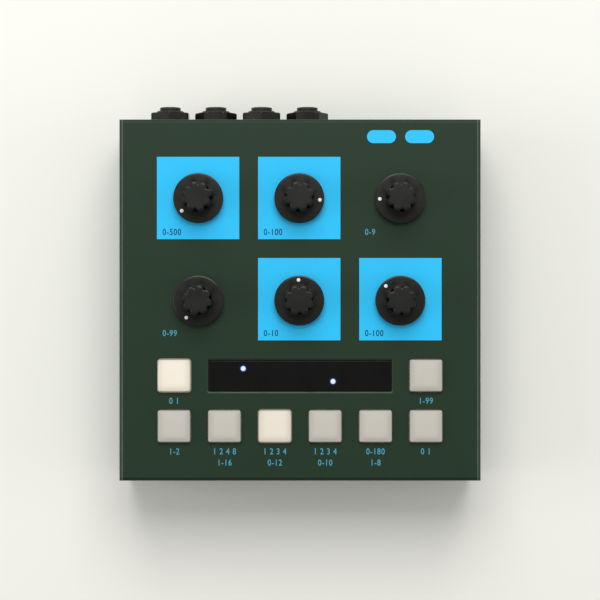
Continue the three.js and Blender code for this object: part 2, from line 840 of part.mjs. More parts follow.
put(piece("control_board", controlBoardBody(), "board"), 0, 0, controlBoardBottom);
put(piece("main_board", mainBoardBody(), "board"), 0, 0, mainBoardBottom);
const linkRow = knobRowShift - linkSetback;
put(piece("board_link", linkBody(), "socketPlastic"), 0, linkRow, mainBoardTop + seatGap);

// Rear sockets: each is built with z = 0 on the wall's outside and +Z pointing away from the case.
// The wall is as thick as the panel, so a body behind it starts at the same level as one under the panel.

/** A jack socket: a body behind the wall and a threaded bush through it. */
function jackBody() {
  const ringBase = jackReach - jackRingHeight;
  const bush = turned([
    [0, rimTop - rootDepth],
    [jackThreadRadius, rimTop - rootDepth],
    [jackThreadRadius, jackNutReach],
    [jackNeckRadius, jackNutReach],
    [jackNeckRadius, ringBase],
    [jackRingRadius, ringBase],
    [jackRingRadius, jackReach - jackRingBevel],
    [jackRingRadius - jackRingBevel, jackReach],
    [0, jackReach],
  ]);
  const body = block(jackBodyWidth, jackBodyHeight, rimTop - jackBodyDepth, rimTop);
  return cut(join(body, bush), bar(jackBoreRadius, jackReach - jackBoreDepth, jackReach + cutOverrun));
}

/** The hexagonal nut of a jack socket, with a cone on its outer face and a corner pointing up. */
function jackNutBody() {
  const hexTop = seatGap + jackNutHexHeight;
  return cut(
    join(
      hexagon(jackNutAcrossFlats, seatGap, hexTop),
      bar(jackNutConeRadius, hexTop - rootDepth, jackNutReach, roundSegments, jackNutConeTopRadius),
    ),
    bar(jackThreadRadius + seatGap, 0, jackNutReach + cutOverrun),
  );
}

/** A five-pin socket: a body behind the wall and a round face through it, with a groove and pin holes. */
function dinBody() {
  const face = join(
    block(dinBodyWidth, dinBodyHeight, rimTop - dinBodyDepth, rimTop),
    bar(dinFaceRadius, rimTop - rootDepth, dinFaceRise, wallHoleSegments),
  );
  const grooveLow = dinFaceRise - dinGrooveDepth;
  const groove = cut(
    bar(dinGrooveRadius, grooveLow, dinFaceRise + cutOverrun, wallHoleSegments),
    bar(
      dinGrooveRadius - dinGrooveWidth,
      grooveLow - cutOverrun,
      dinFaceRise + 2 * cutOverrun,
      wallHoleSegments,
    ),
  );
  const pinPlaces = Array.from({ length: dinPinCount }, (_, i) => {
    const angle = (Math.PI * i) / (dinPinCount - 1);
    return { x: dinPinCircleRadius * Math.cos(angle), y: -dinPinCircleRadius * Math.sin(angle) };
  });
  const pinHole = bar(dinPinRadius, grooveLow, dinFaceRise + cutOverrun, smallSegments);
  return cut(face, groove, ...atEach(pinPlaces, pinHole));
}

/** The power inlet: a round mouth with a centre pin, and a body that stands on the main board. */
function inletBody() {
  const low = seatGap - inletAxisHeight;
  const body = block(inletBodyWidth, inletBodyHeight, rimTop - inletBodyDepth, rimTop);
  const floor = -inletBoreDepth;
  return join(
    cut(
      join(
        body.translate([0, -(low + inletBodyHeight / 2), 0]),
        bar(inletFaceRadius, rimTop - rootDepth, 0, wallHoleSegments),
      ),
      bar(inletBoreRadius, floor, cutOverrun, wallHoleSegments),
    ),
    bar(inletPinRadius, floor - rootDepth, -inletPinSink, smallSegments),
  );
}

jackColumns.forEach((x, i) => {
  putOnRear(piece(`jack_${i + 1}`, jackBody(), "socketPlastic"), x, jackAxis);
  const nut = putOnRear(piece(`jack_nut_${i + 1}`, jackNutBody(), "socketPlastic"), x, jackAxis);
  const flatUp = i % 2 === 1;
  if (flatUp) nut.rotation.z = Math.PI / 2;
});
dinColumns.forEach((x, i) => {
  putOnRear(piece(`control_socket_${i + 1}`, dinBody(), "socketPlastic"), x, dinAxis);
});
putOnRear(piece("power_inlet", inletBody(), "socketPlastic"), inletColumn, inletAxis);

export default instrument;
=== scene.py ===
"""A square desktop delay processor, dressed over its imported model.

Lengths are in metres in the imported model's own frame: +X right, +Y to the rear, +Z up.
"""

import math

import bmesh
import bpy
import numpy as np
from bpy.props import FloatProperty, FloatVectorProperty, IntProperty, PointerProperty
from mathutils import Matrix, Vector


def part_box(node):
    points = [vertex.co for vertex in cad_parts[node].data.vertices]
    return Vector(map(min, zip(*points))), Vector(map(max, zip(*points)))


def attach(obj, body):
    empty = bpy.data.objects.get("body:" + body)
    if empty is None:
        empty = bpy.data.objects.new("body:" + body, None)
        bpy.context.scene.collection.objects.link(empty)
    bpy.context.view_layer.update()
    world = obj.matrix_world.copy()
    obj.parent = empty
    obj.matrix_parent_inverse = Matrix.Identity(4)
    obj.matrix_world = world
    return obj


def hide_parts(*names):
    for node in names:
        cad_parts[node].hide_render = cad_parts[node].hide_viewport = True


bl_info = {
    "name": "Delay Processor",
    "version": (1, 0, 0),
    "blender": (4, 5, 0),
    "location": "3D View > Sidebar > Processor",
    "description": "Builds the fine pieces and finishes of a desktop delay processor",
    "category": "Object",
}

MM = 0.001
KNOBS = ("time", "feedback", "mix", "value", "rate", "depth")
BUTTONS = ("bypass", "memory", "tap", "division", "effect", "filter", "offset", "hold")
LIT_BUTTONS = {"bypass": 1.0, "effect": 0.77}
CORNERS = ("front_left", "front_right", "rear_left", "rear_right")
JACKS = (1, 2, 3, 4)

# Where each knob's pointer looks, in degrees counter-clockwise from +X
POINTERS = {"time": 218, "feedback": 355, "mix": 182.4, "value": 235.5, "rate": 92, "depth": 135.2}
# The printed squares lie on a grid of their own, and so do the numbers of the knobs without
# a square: column and row of each
PRINTED_SQUARES = {"time": (-1, 1), "feedback": (0, 1), "rate": (0, 0), "depth": (1, 0)}
PLAIN_PLACES = {"mix": (1, 1), "value": (-1, 0)}
# The two lit lights of the display, in pitches to the right and to the rear of its middle
LIT_LIGHTS = ((-4.5, 0.5), (2.5, -0.5))
# Rows of faces on a nut: its hexagon, its cone and its hole
NUT_ROWS = (9, 3, 2)
# The values between which most of a noise lies
CLOUDS = (0.3, 0.7)
# Points round a turned ring, where a shape gives no other number
AROUND = 96
# Steps of a lofted plan's quarter circles, and the least radius of its corners
CORNER_STEPS = 8
LEAST_CORNER = 0.08 * MM

# Plain numbers printed at the controls: the range of each knob, the choices of each button
KNOB_NUMBERS = {
    "time": "0-500",
    "feedback": "0-100",
    "mix": "0-9",
    "value": "0-99",
    "rate": "0-10",
    "depth": "0-100",
}
BUTTON_NUMBERS = {
    "bypass": ("0 1",),
    "memory": ("1-99",),
    "tap": ("1-2",),
    "division": ("1 2 4 8", "1-16"),
    "effect": ("1 2 3 4", "0-12"),
    "filter": ("1 2 3 4", "0-10"),
    "offset": ("0-180", "1-8"),
    "hold": ("0 1",),
}

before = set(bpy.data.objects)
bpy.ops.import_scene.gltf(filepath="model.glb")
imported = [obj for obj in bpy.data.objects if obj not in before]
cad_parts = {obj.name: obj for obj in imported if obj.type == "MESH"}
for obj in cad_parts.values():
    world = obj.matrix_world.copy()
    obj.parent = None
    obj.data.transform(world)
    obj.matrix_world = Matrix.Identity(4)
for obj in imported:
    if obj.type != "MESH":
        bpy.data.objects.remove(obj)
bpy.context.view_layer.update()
panel_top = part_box("top_cover")[1].z
rear_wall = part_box("top_cover")[1].y


def middle(node):
    """The middle of a node's box."""
    low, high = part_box(node)
    return (low + high) / 2


def on_panel(node):
    """The point in the panel's plane at a node's middle."""
    centre = middle(node)
    return np.array([centre.x, centre.y, panel_top])


def square_place(case, column, row):
    """The middle of a printed square, x and y."""
    shift = np.array([case.square_shift, case.square_rise])
    return on_panel("top_cover")[:2] + shift + case.square_pitch * np.array([column, row])


# Properties


def linear(code):
    """The linear red, green and blue of an sRGB code."""
    parts = np.array([code >> 16, code >> 8 & 255, code & 255]) / 255
    return tuple(np.where(parts <= 0.04045, parts / 12.92, ((parts + 0.055) / 1.055) ** 2.4))


def length(name, size, description):
    """A length, given in millimetres."""
    return FloatProperty(
        name=name, description=description, default=size * MM, unit="LENGTH", precision=5
    )


def number(name, default, description):
    """A plain number."""
    return FloatProperty(name=name, description=description, default=default)


def power(name, watts, description):
    """The power of a lamp."""
    return FloatProperty(name=name, description=description, default=watts, unit="POWER")


def shade(name, code, description):
    """A colour, given as an sRGB code."""
    return FloatVectorProperty(
        name=name, description=description, default=linear(code), subtype="COLOR", min=0, max=1
    )


class CaseSettings(bpy.types.PropertyGroup):
    """The case and what is printed on it."""

    paint: shade("Paint", 0x1E3422, "Powder coat of the cover and the bottom plate")
    # Painted highlight: lighter paint where the side folds and the window's bevel catch the lamps
    highlight_paint: shade("Rubbed paint", 0x586459, "Powder coat where hands have rubbed its edges")
    # Painted shade along the front fold, which faces away from the lamps
    painted_front_shade: shade("Handled paint", 0x08140C, "Powder coat darkened by hands along the front fold")
    ink: shade("Ink", 0x2AC4FC, "Ink of the printed squares and numbers")
    number_ink: shade("Number ink", 0x4BA2BC, "Numbers on the paint")
    dark_ink: shade("Dark ink", 0x042C3C, "Numbers on the printed squares")
    film: length("Film", 0.03, "Thickness of the ink")
    square: length("Printed square", 33.05, "Side of a printed square")
    square_pitch: length("Square pitch", 40.6, "From one printed square to the next")
    square_shift: length("Square shift", -0.3, "From the case's middle to the middle column")
    square_rise: length("Square rise", 0.33, "From the case's middle to the front row")
    square_hole: length("Hole", 8, "Opening in a printed square under its knob")
    cap_height: length("Number height", 2.5, "Height of the printed numbers")
    number_width: number("Number width", 0.84, "Width of the numbers as a share of the plain face")
    number_spacing: number("Number spacing", 1.12, "Space between numbers, against the plain face")
    number_weight: number("Number weight", 0.008, "Growth of the strokes, against the plain face")
    knob_number_inset: length("Number inset", 2.25, "From the square's left side to its number")
    knob_number_lift: length("Number lift", 1.65, "From the square's front side to its number")
    button_number_drop: length("Number drop", 11.4, "From a button's middle down to its first line")
    line_pitch: length("Line pitch", 4.5, "From one line of numbers to the next")
    pill_width: length("Pill width", 11.6, "Width of the two printed pills")
    pill_height: length("Pill height", 5.2, "Height of the two printed pills")
    pill_left: length("First pill", 32.7, "From the case's middle to the first pill")
    pill_pitch: length("Pill pitch", 15.3, "From one pill to the next")
    pill_setback: length("Pill setback", 7.05, "From the rear wall to the pills' middle")


class KnobSettings(bpy.types.PropertyGroup):
    """The skirted knobs."""

    plastic: shade("Plastic", 0x171714, "Moulded plastic of the knobs")
    grip_side: shade("Grip side", 0x292825, "Plastic of the grip's sides, which stay matt")
    # Painted shade: a darker plastic, all but unreflecting, put deep in the flutes
    flute_shade: shade("Flute", 0x0C0C0B, "Plastic deep in the flutes")
    pointer: shade("Pointer", 0xFCFAF2, "Paint of the pointer dots")
    skirt_radius: length("Skirt radius", 10, "Radius of the skirt")
    skirt_lift: length("Skirt lift", 0.8, "From the panel to the skirt")
    skirt_height: length("Skirt height", 3.5, "From the panel to the skirt's upper edge")
    skirt_chamfer: length("Skirt chamfer", 0.5, "Width of the chamfer round the skirt")
    grip_foot: length("Grip foot", 3.6, "From the panel to the grip's foot")
    grip_radius: length("Grip radius", 6.35, "Radius of the grip at its foot")
    top_radius: length("Top radius", 5.85, "Radius of the grip at its top")
    height: length("Height", 15, "From the panel to the knob's top")
    chamfer: length("Chamfer", 0.8, "Width of the chamfer round the grip's top")
    chamfer_drop: number("Chamfer drop", 0.31, "Height of both chamfers as a share of their width")
    flutes: IntProperty(name="Flutes", description="Flutes round the grip", default=8)
    flute_depth: length("Flute depth", 1, "Depth of the flutes")
    pointer_radius: length("Pointer place", 8.25, "From the knob's axis to its pointer dot")
    dot_radius: length("Dot radius", 0.72, "Radius of the pointer dot")
    bore: length("Bore", 3.3, "Radius of the hole for the shaft")
    bore_top: length("Bore top", 12.7, "From the panel to the end of the hole")
    hollow: length("Hollow", 5.5, "Radius of the hollow under a knob")
    hollow_top: length("Hollow top", 2.7, "From the panel to the top of the hollow")
    plain_top: length("Plain top", 3.6, "Radius in which the grip's top has no flutes")
    flute_middle: number("Flute middle", 0.35, "Cosine above which a face lies deep in a flute")


class ButtonSettings(bpy.types.PropertyGroup):
    """The milky button caps."""

    unlit: shade("Unlit", 0xC6C2B8, "Cap without light behind it")
    # Painted shade towards a cap's sides
    edge_shade: shade("Edge", 0xB6B2A6, "Cap towards its sides")
    lit: shade("Lit", 0xC6C2B8, "Cap with light behind it")
    light: shade("Light", 0xFFF0D7, "Light behind a lit cap")
    glow: number("Glow", 0.34, "Strength of the light behind a lit cap")
    width: length("Width", 13.05, "Width of a cap")
    depth: length("Depth", 12.75, "Depth of a cap, front to rear")
    corner: length("Corner", 0.8, "Radius of a cap's upright corners")
    edge: length("Edge rounding", 0.6, "Rounding of a cap's upper edge")
    crown: length("Crown", 0.5, "Rise of a cap's top from its edge to its middle")
    crown_power: number("Crown shape", 5, "Power by which the top falls towards its edge")
    height: length("Height", 2.6, "From the panel to a cap's top")
    wall: length("Wall", 1.3, "Thickness of a cap")
    rim: length("Rim", 0.95, "Width of the rim under the panel")
    rim_top: length("Rim drop", 1.5, "From the panel's top down to the rim")
    rim_height: length("Rim height", 1, "Height of the rim")
    post: length("Post", 1.5, "Radius of the post in the switch")


class DisplaySettings(bpy.types.PropertyGroup):
    """The smoked window and the lights behind it."""

    lens: shade("Lens", 0x0B0B0A, "Smoked plastic")
    core: shade("Light", 0xE6F7FC, "A lit display light")
    rim_light: shade("Light edge", 0xB4CCEC, "A lit display light at its edge")
    halo: shade("Halo", 0x0C2C72, "Light that spreads in the lens")
    core_radius: length("Light radius", 1.04, "Radius of a lit display light")
    halo_radius: length("Halo radius", 2.3, "Reach of the halo from a light's middle")
    recess: length("Recess", 0.25, "From the panel down to the lens")
    corner: length("Corner", 0.5, "Radius of the lens's corners")
    gap: length("Gap", 0.3, "From the lens to its cut-out")
    pitch: length("Light pitch", 5.15, "From one display light to the next")
    rim: length("Rim", 2, "Width of the rim under the panel")
    rim_top: length("Rim drop", 1.5, "From the panel's top down to the rim")


class SocketSettings(bpy.types.PropertyGroup):
    """The sockets in the rear wall."""

    plastic: shade("Plastic", 0x32322D, "Moulded plastic of the jacks")
    nut_plastic: shade("Nut plastic", 0x191917, "Moulded plastic of the nuts")
    contact: shade("Contact", 0xB9B4A4, "Nickel of the contacts")
    bore: length("Bore", 3.25, "Radius of a jack's bore")
    bore_depth: length("Bore depth", 21, "Depth of a jack's bore")
    contact_radius: length("Contact radius", 1.7, "Radius of the contact at the bore's end")
    thread: length("Thread", 4.9, "Outer radius of a jack's thread")
    thread_pitch: length("Thread pitch", 0.75, "Pitch of a jack's thread")
    thread_depth: length("Thread depth", 0.35, "Depth of a jack's thread")
    neck: length("Neck", 4.1, "Radius of a jack's neck")
    ring: length("Ring", 4.28, "Radius of a jack's mouth ring")
    reach: length("Reach", 6.9, "From the rear wall to a jack's mouth")
    ring_height: length("Ring height", 1.05, "Height of the mouth ring")
    neck_height: length("Neck height", 0.35, "Height of the neck")
    body_width: length("Body width", 15.6, "Width of a jack's body")
    body_height: length("Body height", 15, "Height of a jack's body")
    body_depth: length("Body depth", 24, "Depth of a jack's body")
    body_start: length("Body start", 1.5, "From the wall's outside to a jack's body")
    across_flats: length("Nut", 15.3, "Width of a nut across its flats")
    hex_height: length("Hex height", 4.2, "Height of a nut's hexagon")
    cone_radius: length("Cone", 5.95, "Radius of a nut's cone at its foot")
    cone_top: length("Cone top", 5.35, "Radius of a nut's cone at its top")
    cone_height: length("Cone height", 0.9, "Height of a nut's cone")
    seat: length("Seat", 0.3, "From the wall to a nut")


class FootSettings(bpy.types.PropertyGroup):
    """The feet and the screws in them."""

    rubber: shade("Rubber", 0x1F1F1F, "Rubber of the feet")
    zinc: shade("Zinc", 0xB4B8BA, "Plating of the screws")
    radius: length("Radius", 6.5, "Radius of a foot on the table")
    top_radius: length("Top radius", 7, "Radius of a foot under the plate")
    height: length("Height", 4, "Height of a foot")
    recess: length("Recess", 2.4, "Depth of the screw's recess")
    recess_radius: length("Recess radius", 3.4, "Radius of the screw's recess")
    hole: length("Hole", 1.8, "Radius of the screw's hole")
    head_radius: length("Head radius", 2.8, "Radius of a screw's head")
    head_height: length("Head height", 1.7, "Height of a screw's head")
    shank: length("Shank", 1.5, "Radius of a screw's shank")
    cross_length: length("Cross length", 3.2, "Length of a slot in the screw's cross")
    cross_width: length("Cross width", 0.7, "Width of a slot in the screw's cross")
    cross_depth: length("Cross depth", 0.9, "Depth of the screw's cross")


class InsideSettings(bpy.types.PropertyGroup):
    """The pieces inside the case."""

    pot: shade("Potentiometer", 0xAEADA8, "Plating of the potentiometers")
    shaft: shade("Shaft", 0xC8C8C3, "Metal of the shafts")
    mask: shade("Board", 0x1B4630, "Solder mask of the boards")
    pale_mask: shade("Pale board", 0x1F4E36, "Solder mask over bare board")
    track: shade("Track", 0x2C6A47, "Solder mask over copper tracks")
    housing: shade("Housing", 0x2B2B2B, "Plastic of the switches and the board link")
    spacer: shade("Spacer", 0x1A1A1A, "Plastic of the light spacer")


class StageSettings(bpy.types.PropertyGroup):
    """The floor, the lamps and the camera."""

    floor: shade("Floor", 0xF8F8F0, "Colour of the floor")
    sky: shade("Sky", 0xFFFFFF, "Colour of the light from all round")
    sky_level: number("Sky level", 0.39, "Strength of the light from all round")
    lamp_power: power("Lamp", 9.1, "Power of the large lamp")
    lamp_size: length("Lamp size", 830, "Side of the large lamp")
    lamp_rear: length("Lamp rear", 655, "From the case to the large lamp, to the rear")
    lamp_right: length("Lamp right", 15, "From the case to the large lamp, to the right")
    lamp_height: length("Lamp height", 1000, "From the floor to the large lamp")
    left_power: power("Left lamp", 2, "Power of the low lamp on the left")
    right_power: power("Right lamp", 1, "Power of the low lamp on the right")
    side_size: length("Side lamp size", 500, "Side of the low lamps")
    side_reach: length("Side lamp reach", 870, "From the case to the low lamps, sideways")
    side_front: length("Side lamp front", 60, "From the case to the low lamps, to the front")
    side_height: length("Side lamp height", 620, "From the floor to the low lamps")
    floor_reach: length("Floor reach", 4000, "From the floor's middle to its sides")
    camera_height: length("Camera height", 850, "From the panel to the camera")
    camera_front: length("Camera front", 18, "From the case's middle to the camera, to the front")
    view_width: length("View width", 240.8, "Width of what the camera sees at the panel")


SETTINGS = {
    "processor_case": CaseSettings,
    "processor_knobs": KnobSettings,
    "processor_buttons": ButtonSettings,
    "processor_display": DisplaySettings,
    "processor_sockets": SocketSettings,
    "processor_feet": FootSettings,
    "processor_inside": InsideSettings,
    "processor_stage": StageSettings,
}


# Finishes


class Finish:
    """A material whose nodes read the piece's Object coordinates."""

    def __init__(self, name, **constants):
        self.material = bpy.data.materials.new(name)
        self.material.use_nodes = True
        self.tree = self.material.node_tree
        self.tree.nodes.clear()
        self.shader = self.node("ShaderNodeBsdfPrincipled")
        for socket, value in constants.items():
            self.shader.inputs[socket.replace("_", " ")].default_value = value
        output = self.node("ShaderNodeOutputMaterial")
        self.tree.links.new(self.shader.outputs[0], output.inputs["Surface"])
        self.place = self.node("ShaderNodeTexCoord").outputs["Object"]

    def node(self, kind, **settings):
        """A new node with some of its own settings."""
        node = self.tree.nodes.new(kind)
        for name, value in settings.items():
            setattr(node, name, value)
        return node

    def feed(self, socket, value):
        """Links a socket to another, or gives it a value."""
        if isinstance(value, bpy.types.NodeSocket):
            self.tree.links.new(value, socket)
        else:
            socket.default_value = value

    def give(self, socket, value):
        """Links one of the shader's own sockets, or gives it a value."""
        self.feed(self.shader.inputs[socket], value)

    def maths(self, operation, *values):
        """The result of one operation on one to three values or sockets."""
        node = self.node("ShaderNodeMath", operation=operation)
        for socket, value in zip(node.inputs, values):
            self.feed(socket, value)
        return node.outputs[0]

    def times(self, product, *values):
        """The product of two or more values or sockets."""
        for value in values:
            product = self.maths("MULTIPLY", product, value)
        return product

    def blend(self, first, share, second):
        """The mean of two values, in which the first has a share and the second the rest."""
        return self.maths("MULTIPLY_ADD", first, share, self.times(second, 1 - share))

    def outside(self, place, centre, half):
        """How far a place on an axis lies outside a span: |place - centre| - half."""
        apart = self.maths("ABSOLUTE", self.maths("SUBTRACT", place, centre))
        return self.maths("SUBTRACT", apart, half)

    def ramp(self, value, low, high, start=0.0, end=1.0):
        """A value that goes smoothly from start to end while its source goes from low to high."""
        node = self.node("ShaderNodeMapRange", interpolation_type="SMOOTHSTEP")
        for socket, given in zip(node.inputs, (value, low, high, start, end)):
            self.feed(socket, given)
        return node.outputs[0]

    def band(self, value, rise, fall, end):
        """A value that rises from 0 to 1 in one span and falls to its end in the next. The spans
        are in millimetres."""
        rise_start, rise_end, fall_start, fall_end = (part * MM for part in (*rise, *fall))
        rising = self.ramp(value, rise_start, rise_end)
        return self.times(rising, self.ramp(value, fall_start, fall_end, 1, end))

    def axes(self):
        """The piece's own x, y and z."""
        node = self.node("ShaderNodeSeparateXYZ")
        self.feed(node.inputs[0], self.place)
        return node.outputs

    def reach(self):
        """The piece's own share of the way out from its middle."""
        return self.node("ShaderNodeAttribute", attribute_name="reach").outputs["Fac"]

    def noise(self, size, detail, stretch=(1, 1, 1)):
        """Cloudy noise whose patches are about as wide as size."""
        mapping = self.node("ShaderNodeMapping")
        self.feed(mapping.inputs["Vector"], self.place)
        mapping.inputs["Scale"].default_value = tuple(1 / (size * s) for s in stretch)
        node = self.node("ShaderNodeTexNoise")
        self.feed(node.inputs["Vector"], mapping.outputs[0])
        node.inputs["Scale"].default_value = 1
        node.inputs["Detail"].default_value = detail
        return node.outputs[0]

    def mix(self, factor, first, second):
        """A colour between two others."""
        node = self.node("ShaderNodeMix", data_type="RGBA")
        # The factor's and the two colours' sockets
        sockets = (node.inputs[0], node.inputs[6], node.inputs[7])
        for socket, value in zip(sockets, (factor, first, second)):
            ready = isinstance(value, (float, bpy.types.NodeSocket))
            self.feed(socket, value if ready else (*value, 1))
        return node.outputs[2]

    def tones(self, colour, factor, spread):
        """A colour, a spread darker to a spread lighter as a factor goes from 0 to 1."""
        dark = [part * (1 - spread) for part in colour]
        light = [min(1, part * (1 + spread)) for part in colour]
        return self.mix(factor, dark, light)

    def paint(self, colour, factor, spread):
        """Colours the surface in the tones of one colour."""
        self.give("Base Color", self.tones(colour, factor, spread))

    def grain(self, height, depth, strength):
        """Roughens the surface by a height from 0 to 1 over a depth."""
        node = self.node("ShaderNodeBump")
        self.feed(node.inputs["Height"], height)
        node.inputs["Distance"].default_value = depth
        node.inputs["Strength"].default_value = strength
        self.give("Normal", node.outputs[0])

    def polish(self, cloud, low, high):
        """Roughness between two values, by a noise."""
        self.give("Roughness", self.ramp(cloud, *CLOUDS, low, high))


def moulded(name, colour, roughness, specular=0.22, texture=0.12):
    """Moulded plastic with faint flow marks and a fine spark-eroded texture, whose size is in
    millimetres."""
    finish = Finish(name, Specular_IOR_Level=specular)
    fine = finish.noise(texture * MM, detail=3)
    flow = finish.noise(9 * MM, detail=2, stretch=(1, 1, 3))
    finish.paint(colour, finish.blend(fine, 0.5, flow), spread=0.16)
    finish.polish(flow, low=roughness - 0.05, high=roughness + 0.07)
    finish.grain(fine, depth=0.006 * MM, strength=0.5)
    return finish.material


def powder_coat(name, case, low, high):
    """Powder coat with its orange peel, a painted highlight along the side folds and on the bevel
    round the window, and painted shade along the front fold."""
    finish = Finish(name, Specular_IOR_Level=0.2)
    peel = finish.noise(0.7 * MM, detail=2)
    speck = finish.noise(0.16 * MM, detail=2)
    cloud = finish.noise(45 * MM, detail=3)
    x, y, z = finish.axes()
    centre, half = (low + high) / 2, (high - low) / 2
    top = finish.ramp(z, high.z - 3 * MM, high.z - 1.5 * MM)
    # Painted shade along the front fold, on the top only: up to 0.6 of the way to the dark paint
    front = finish.times(top, finish.ramp(y, low.y + 0.9 * MM, low.y + 1.5 * MM, 0.6, 0))
    from_side = finish.outside(x, centre.x, half.x)
    # A band along each side fold that takes the painted highlight
    fold = finish.times(finish.band(from_side, (-1.58, -1.33), (-1.13, -0.88), 0.12), top)
    window_low, window_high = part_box("display_window")
    window, reach = (window_low + window_high) / 2, (window_high - window_low) / 2
    from_window = finish.maths(
        "MAXIMUM", finish.outside(x, window.x, reach.x), finish.outside(y, window.y, reach.y)
    )
    from_top = finish.maths("SUBTRACT", z, high.z)
    # The window's bevel takes the painted highlight fully at its front edge, which faces the lamp
    # behind, and less elsewhere
    bevel = finish.times(
        finish.band(from_top, (-0.75, -0.6), (-0.06, -0.02), 0),
        finish.ramp(from_window, 1.5 * MM, 2 * MM, 1, 0),
        finish.ramp(y, window_low.y + 2 * MM, window_low.y + 2.5 * MM, 1, 0.3),
    )
    # Painted highlight, made patchy by a noise
    highlight_patches = finish.ramp(finish.noise(6 * MM, detail=4), 0.3, 0.6, 0.75, 1)
    painted_highlight = finish.times(finish.maths("MAXIMUM", fold, bevel), highlight_patches)
    plain = finish.tones(case.paint, finish.blend(speck, 0.6, cloud), spread=0.14)
    painted_front_shade = finish.mix(front, plain, case.painted_front_shade)
    finish.give("Base Color", finish.mix(painted_highlight, painted_front_shade, case.highlight_paint))
    dull = finish.ramp(cloud, *CLOUDS, 0.4, 0.47)
    finish.give("Roughness", finish.maths("SUBTRACT", dull, finish.times(painted_highlight, 0.15)))
    finish.grain(finish.blend(peel, 0.75, speck), depth=0.05 * MM, strength=0.45)
    return finish.material


def ink(name, colour):
    """Screen-printed ink: even, with the mesh's fine unevenness."""
    finish = Finish(name, Specular_IOR_Level=0.22)
    mesh = finish.noise(0.14 * MM, detail=2)
    cloud = finish.noise(14 * MM, detail=2)
    finish.paint(colour, finish.blend(mesh, 0.5, cloud), spread=0.05)
    finish.polish(cloud, low=0.42, high=0.5)
    finish.grain(mesh, depth=0.01 * MM, strength=0.3)
    return finish.material


def milky(name, middle_colour, side_colour, light=None, glow=0.0):
    """Milky cap plastic with painted shade towards its sides, and a light behind it that is
    weaker there.
    """
    finish = Finish(name, Specular_IOR_Level=0.35)
    reach = finish.reach()
    fine = finish.noise(0.2 * MM, detail=3)
    cloud = finish.maths("MULTIPLY_ADD", finish.noise(4 * MM, detail=2), 0.12, -0.06)
    side = finish.maths("ADD", finish.ramp(reach, 0.5, 1.08), cloud)
    finish.give("Base Color", finish.mix(side, middle_colour, side_colour))
    finish.polish(fine, low=0.42, high=0.5)
    finish.grain(fine, depth=0.01 * MM, strength=0.3)
    if light is not None:
        on_top = finish.ramp(reach, 0.6, 1, glow, 0.88 * glow)
        at_side = finish.ramp(reach, 0.97, 1, 1, 0.5)
        finish.give("Emission Color", (*light, 1))
        finish.give("Emission Strength", finish.times(on_top, at_side))
    return finish.material


def smoked(name, display, lights):
    """Smoked lens plastic, in which the light of each lit dot spreads a little."""
    finish = Finish(name, Specular_IOR_Level=0.18)
    cloud = finish.noise(12 * MM, detail=2)
    finish.paint(display.lens, cloud, spread=0.12)
    finish.polish(cloud, low=0.16, high=0.22)
    finish.grain(finish.noise(1.5 * MM, detail=1), depth=0.004 * MM, strength=0.3)
    start, end = 0.7 * display.core_radius, display.halo_radius
    spread = 0.0
    for place in lights:
        apart = finish.node("ShaderNodeVectorMath", operation="DISTANCE")
        finish.feed(apart.inputs[0], finish.place)
        apart.inputs[1].default_value = place
        near = finish.ramp(apart.outputs["Value"], start, end, 1, 0)
        spread = finish.maths("MAXIMUM", spread, near)
    finish.give("Emission Color", (*display.halo, 1))
    finish.give("Emission Strength", finish.maths("POWER", spread, 2.0))
    return finish.material


def lamp_plastic(name, display):
    """A lit display light seen at the lens: white, a little blue towards its edge."""
    finish = Finish(name, Roughness=0.3)
    reach = finish.reach()
    edge = finish.ramp(reach, 0.6, 1.0)
    finish.give("Base Color", (*display.lens, 1))
    finish.give("Emission Color", finish.mix(edge, display.core, display.rim_light))
    finish.give("Emission Strength", finish.ramp(reach, 0.5, 1.0, 1.0, 0.9))
    return finish.material


def metal(name, colour, roughness):
    """Plated or turned metal with fine lines and duller patches."""
    finish = Finish(name, Metallic=1.0)
    lines = finish.noise(0.5 * MM, detail=3, stretch=(1, 1, 6))
    patch = finish.noise(3 * MM, detail=3)
    finish.paint(colour, finish.blend(lines, 0.4, patch), spread=0.12)
    finish.polish(patch, low=roughness - 0.06, high=roughness + 0.12)
    finish.grain(lines, depth=0.01 * MM, strength=0.4)
    return finish.material


def rubber(name, colour):
    """Matt rubber with fine pores and a dusty bloom."""
    finish = Finish(name, Specular_IOR_Level=0.25)
    pores = finish.noise(0.25 * MM, detail=3)
    bloom = finish.noise(3 * MM, detail=3)
    finish.paint(colour, finish.blend(pores, 0.4, bloom), spread=0.25)
    finish.polish(bloom, low=0.75, high=0.9)
    finish.grain(pores, depth=0.03 * MM, strength=0.5)
    return finish.material


def laminate(name, inside):
    """Circuit board: solder mask over faint copper tracks, which run along and across it."""
    finish = Finish(name, Specular_IOR_Level=0.5)
    brick = finish.node("ShaderNodeTexBrick", offset=0.5, squash=1.0)
    pattern = {
        "Vector": finish.place,
        "Scale": 1 / (9 * MM),
        "Mortar Size": 0.06,
        "Brick Width": 0.9,
        "Row Height": 0.3,
        "Color1": (*inside.mask, 1),
        "Color2": (*inside.pale_mask, 1),
        "Mortar": (*inside.track, 1),
    }
    for socket, value in pattern.items():
        finish.feed(brick.inputs[socket], value)
    finish.give("Base Color", brick.outputs["Color"])
    finish.polish(finish.noise(2 * MM, detail=2), low=0.35, high=0.45)
    finish.grain(brick.outputs["Fac"], depth=0.03 * MM, strength=0.5)
    return finish.material


# Surfaces


def turned(profile, around=AROUND):
    """Rings of a shape turned about Z: each point (radius, height) of the profile goes round in
    one ring."""
    radius, height = np.asarray(profile, float).T
    angle = np.linspace(0, 2 * np.pi, around, endpoint=False)
    x, y = (radius[:, None] * wave(angle)[None] for wave in (np.cos, np.sin))
    return np.stack([x, y, np.broadcast_to(height[:, None], x.shape)], axis=-1)


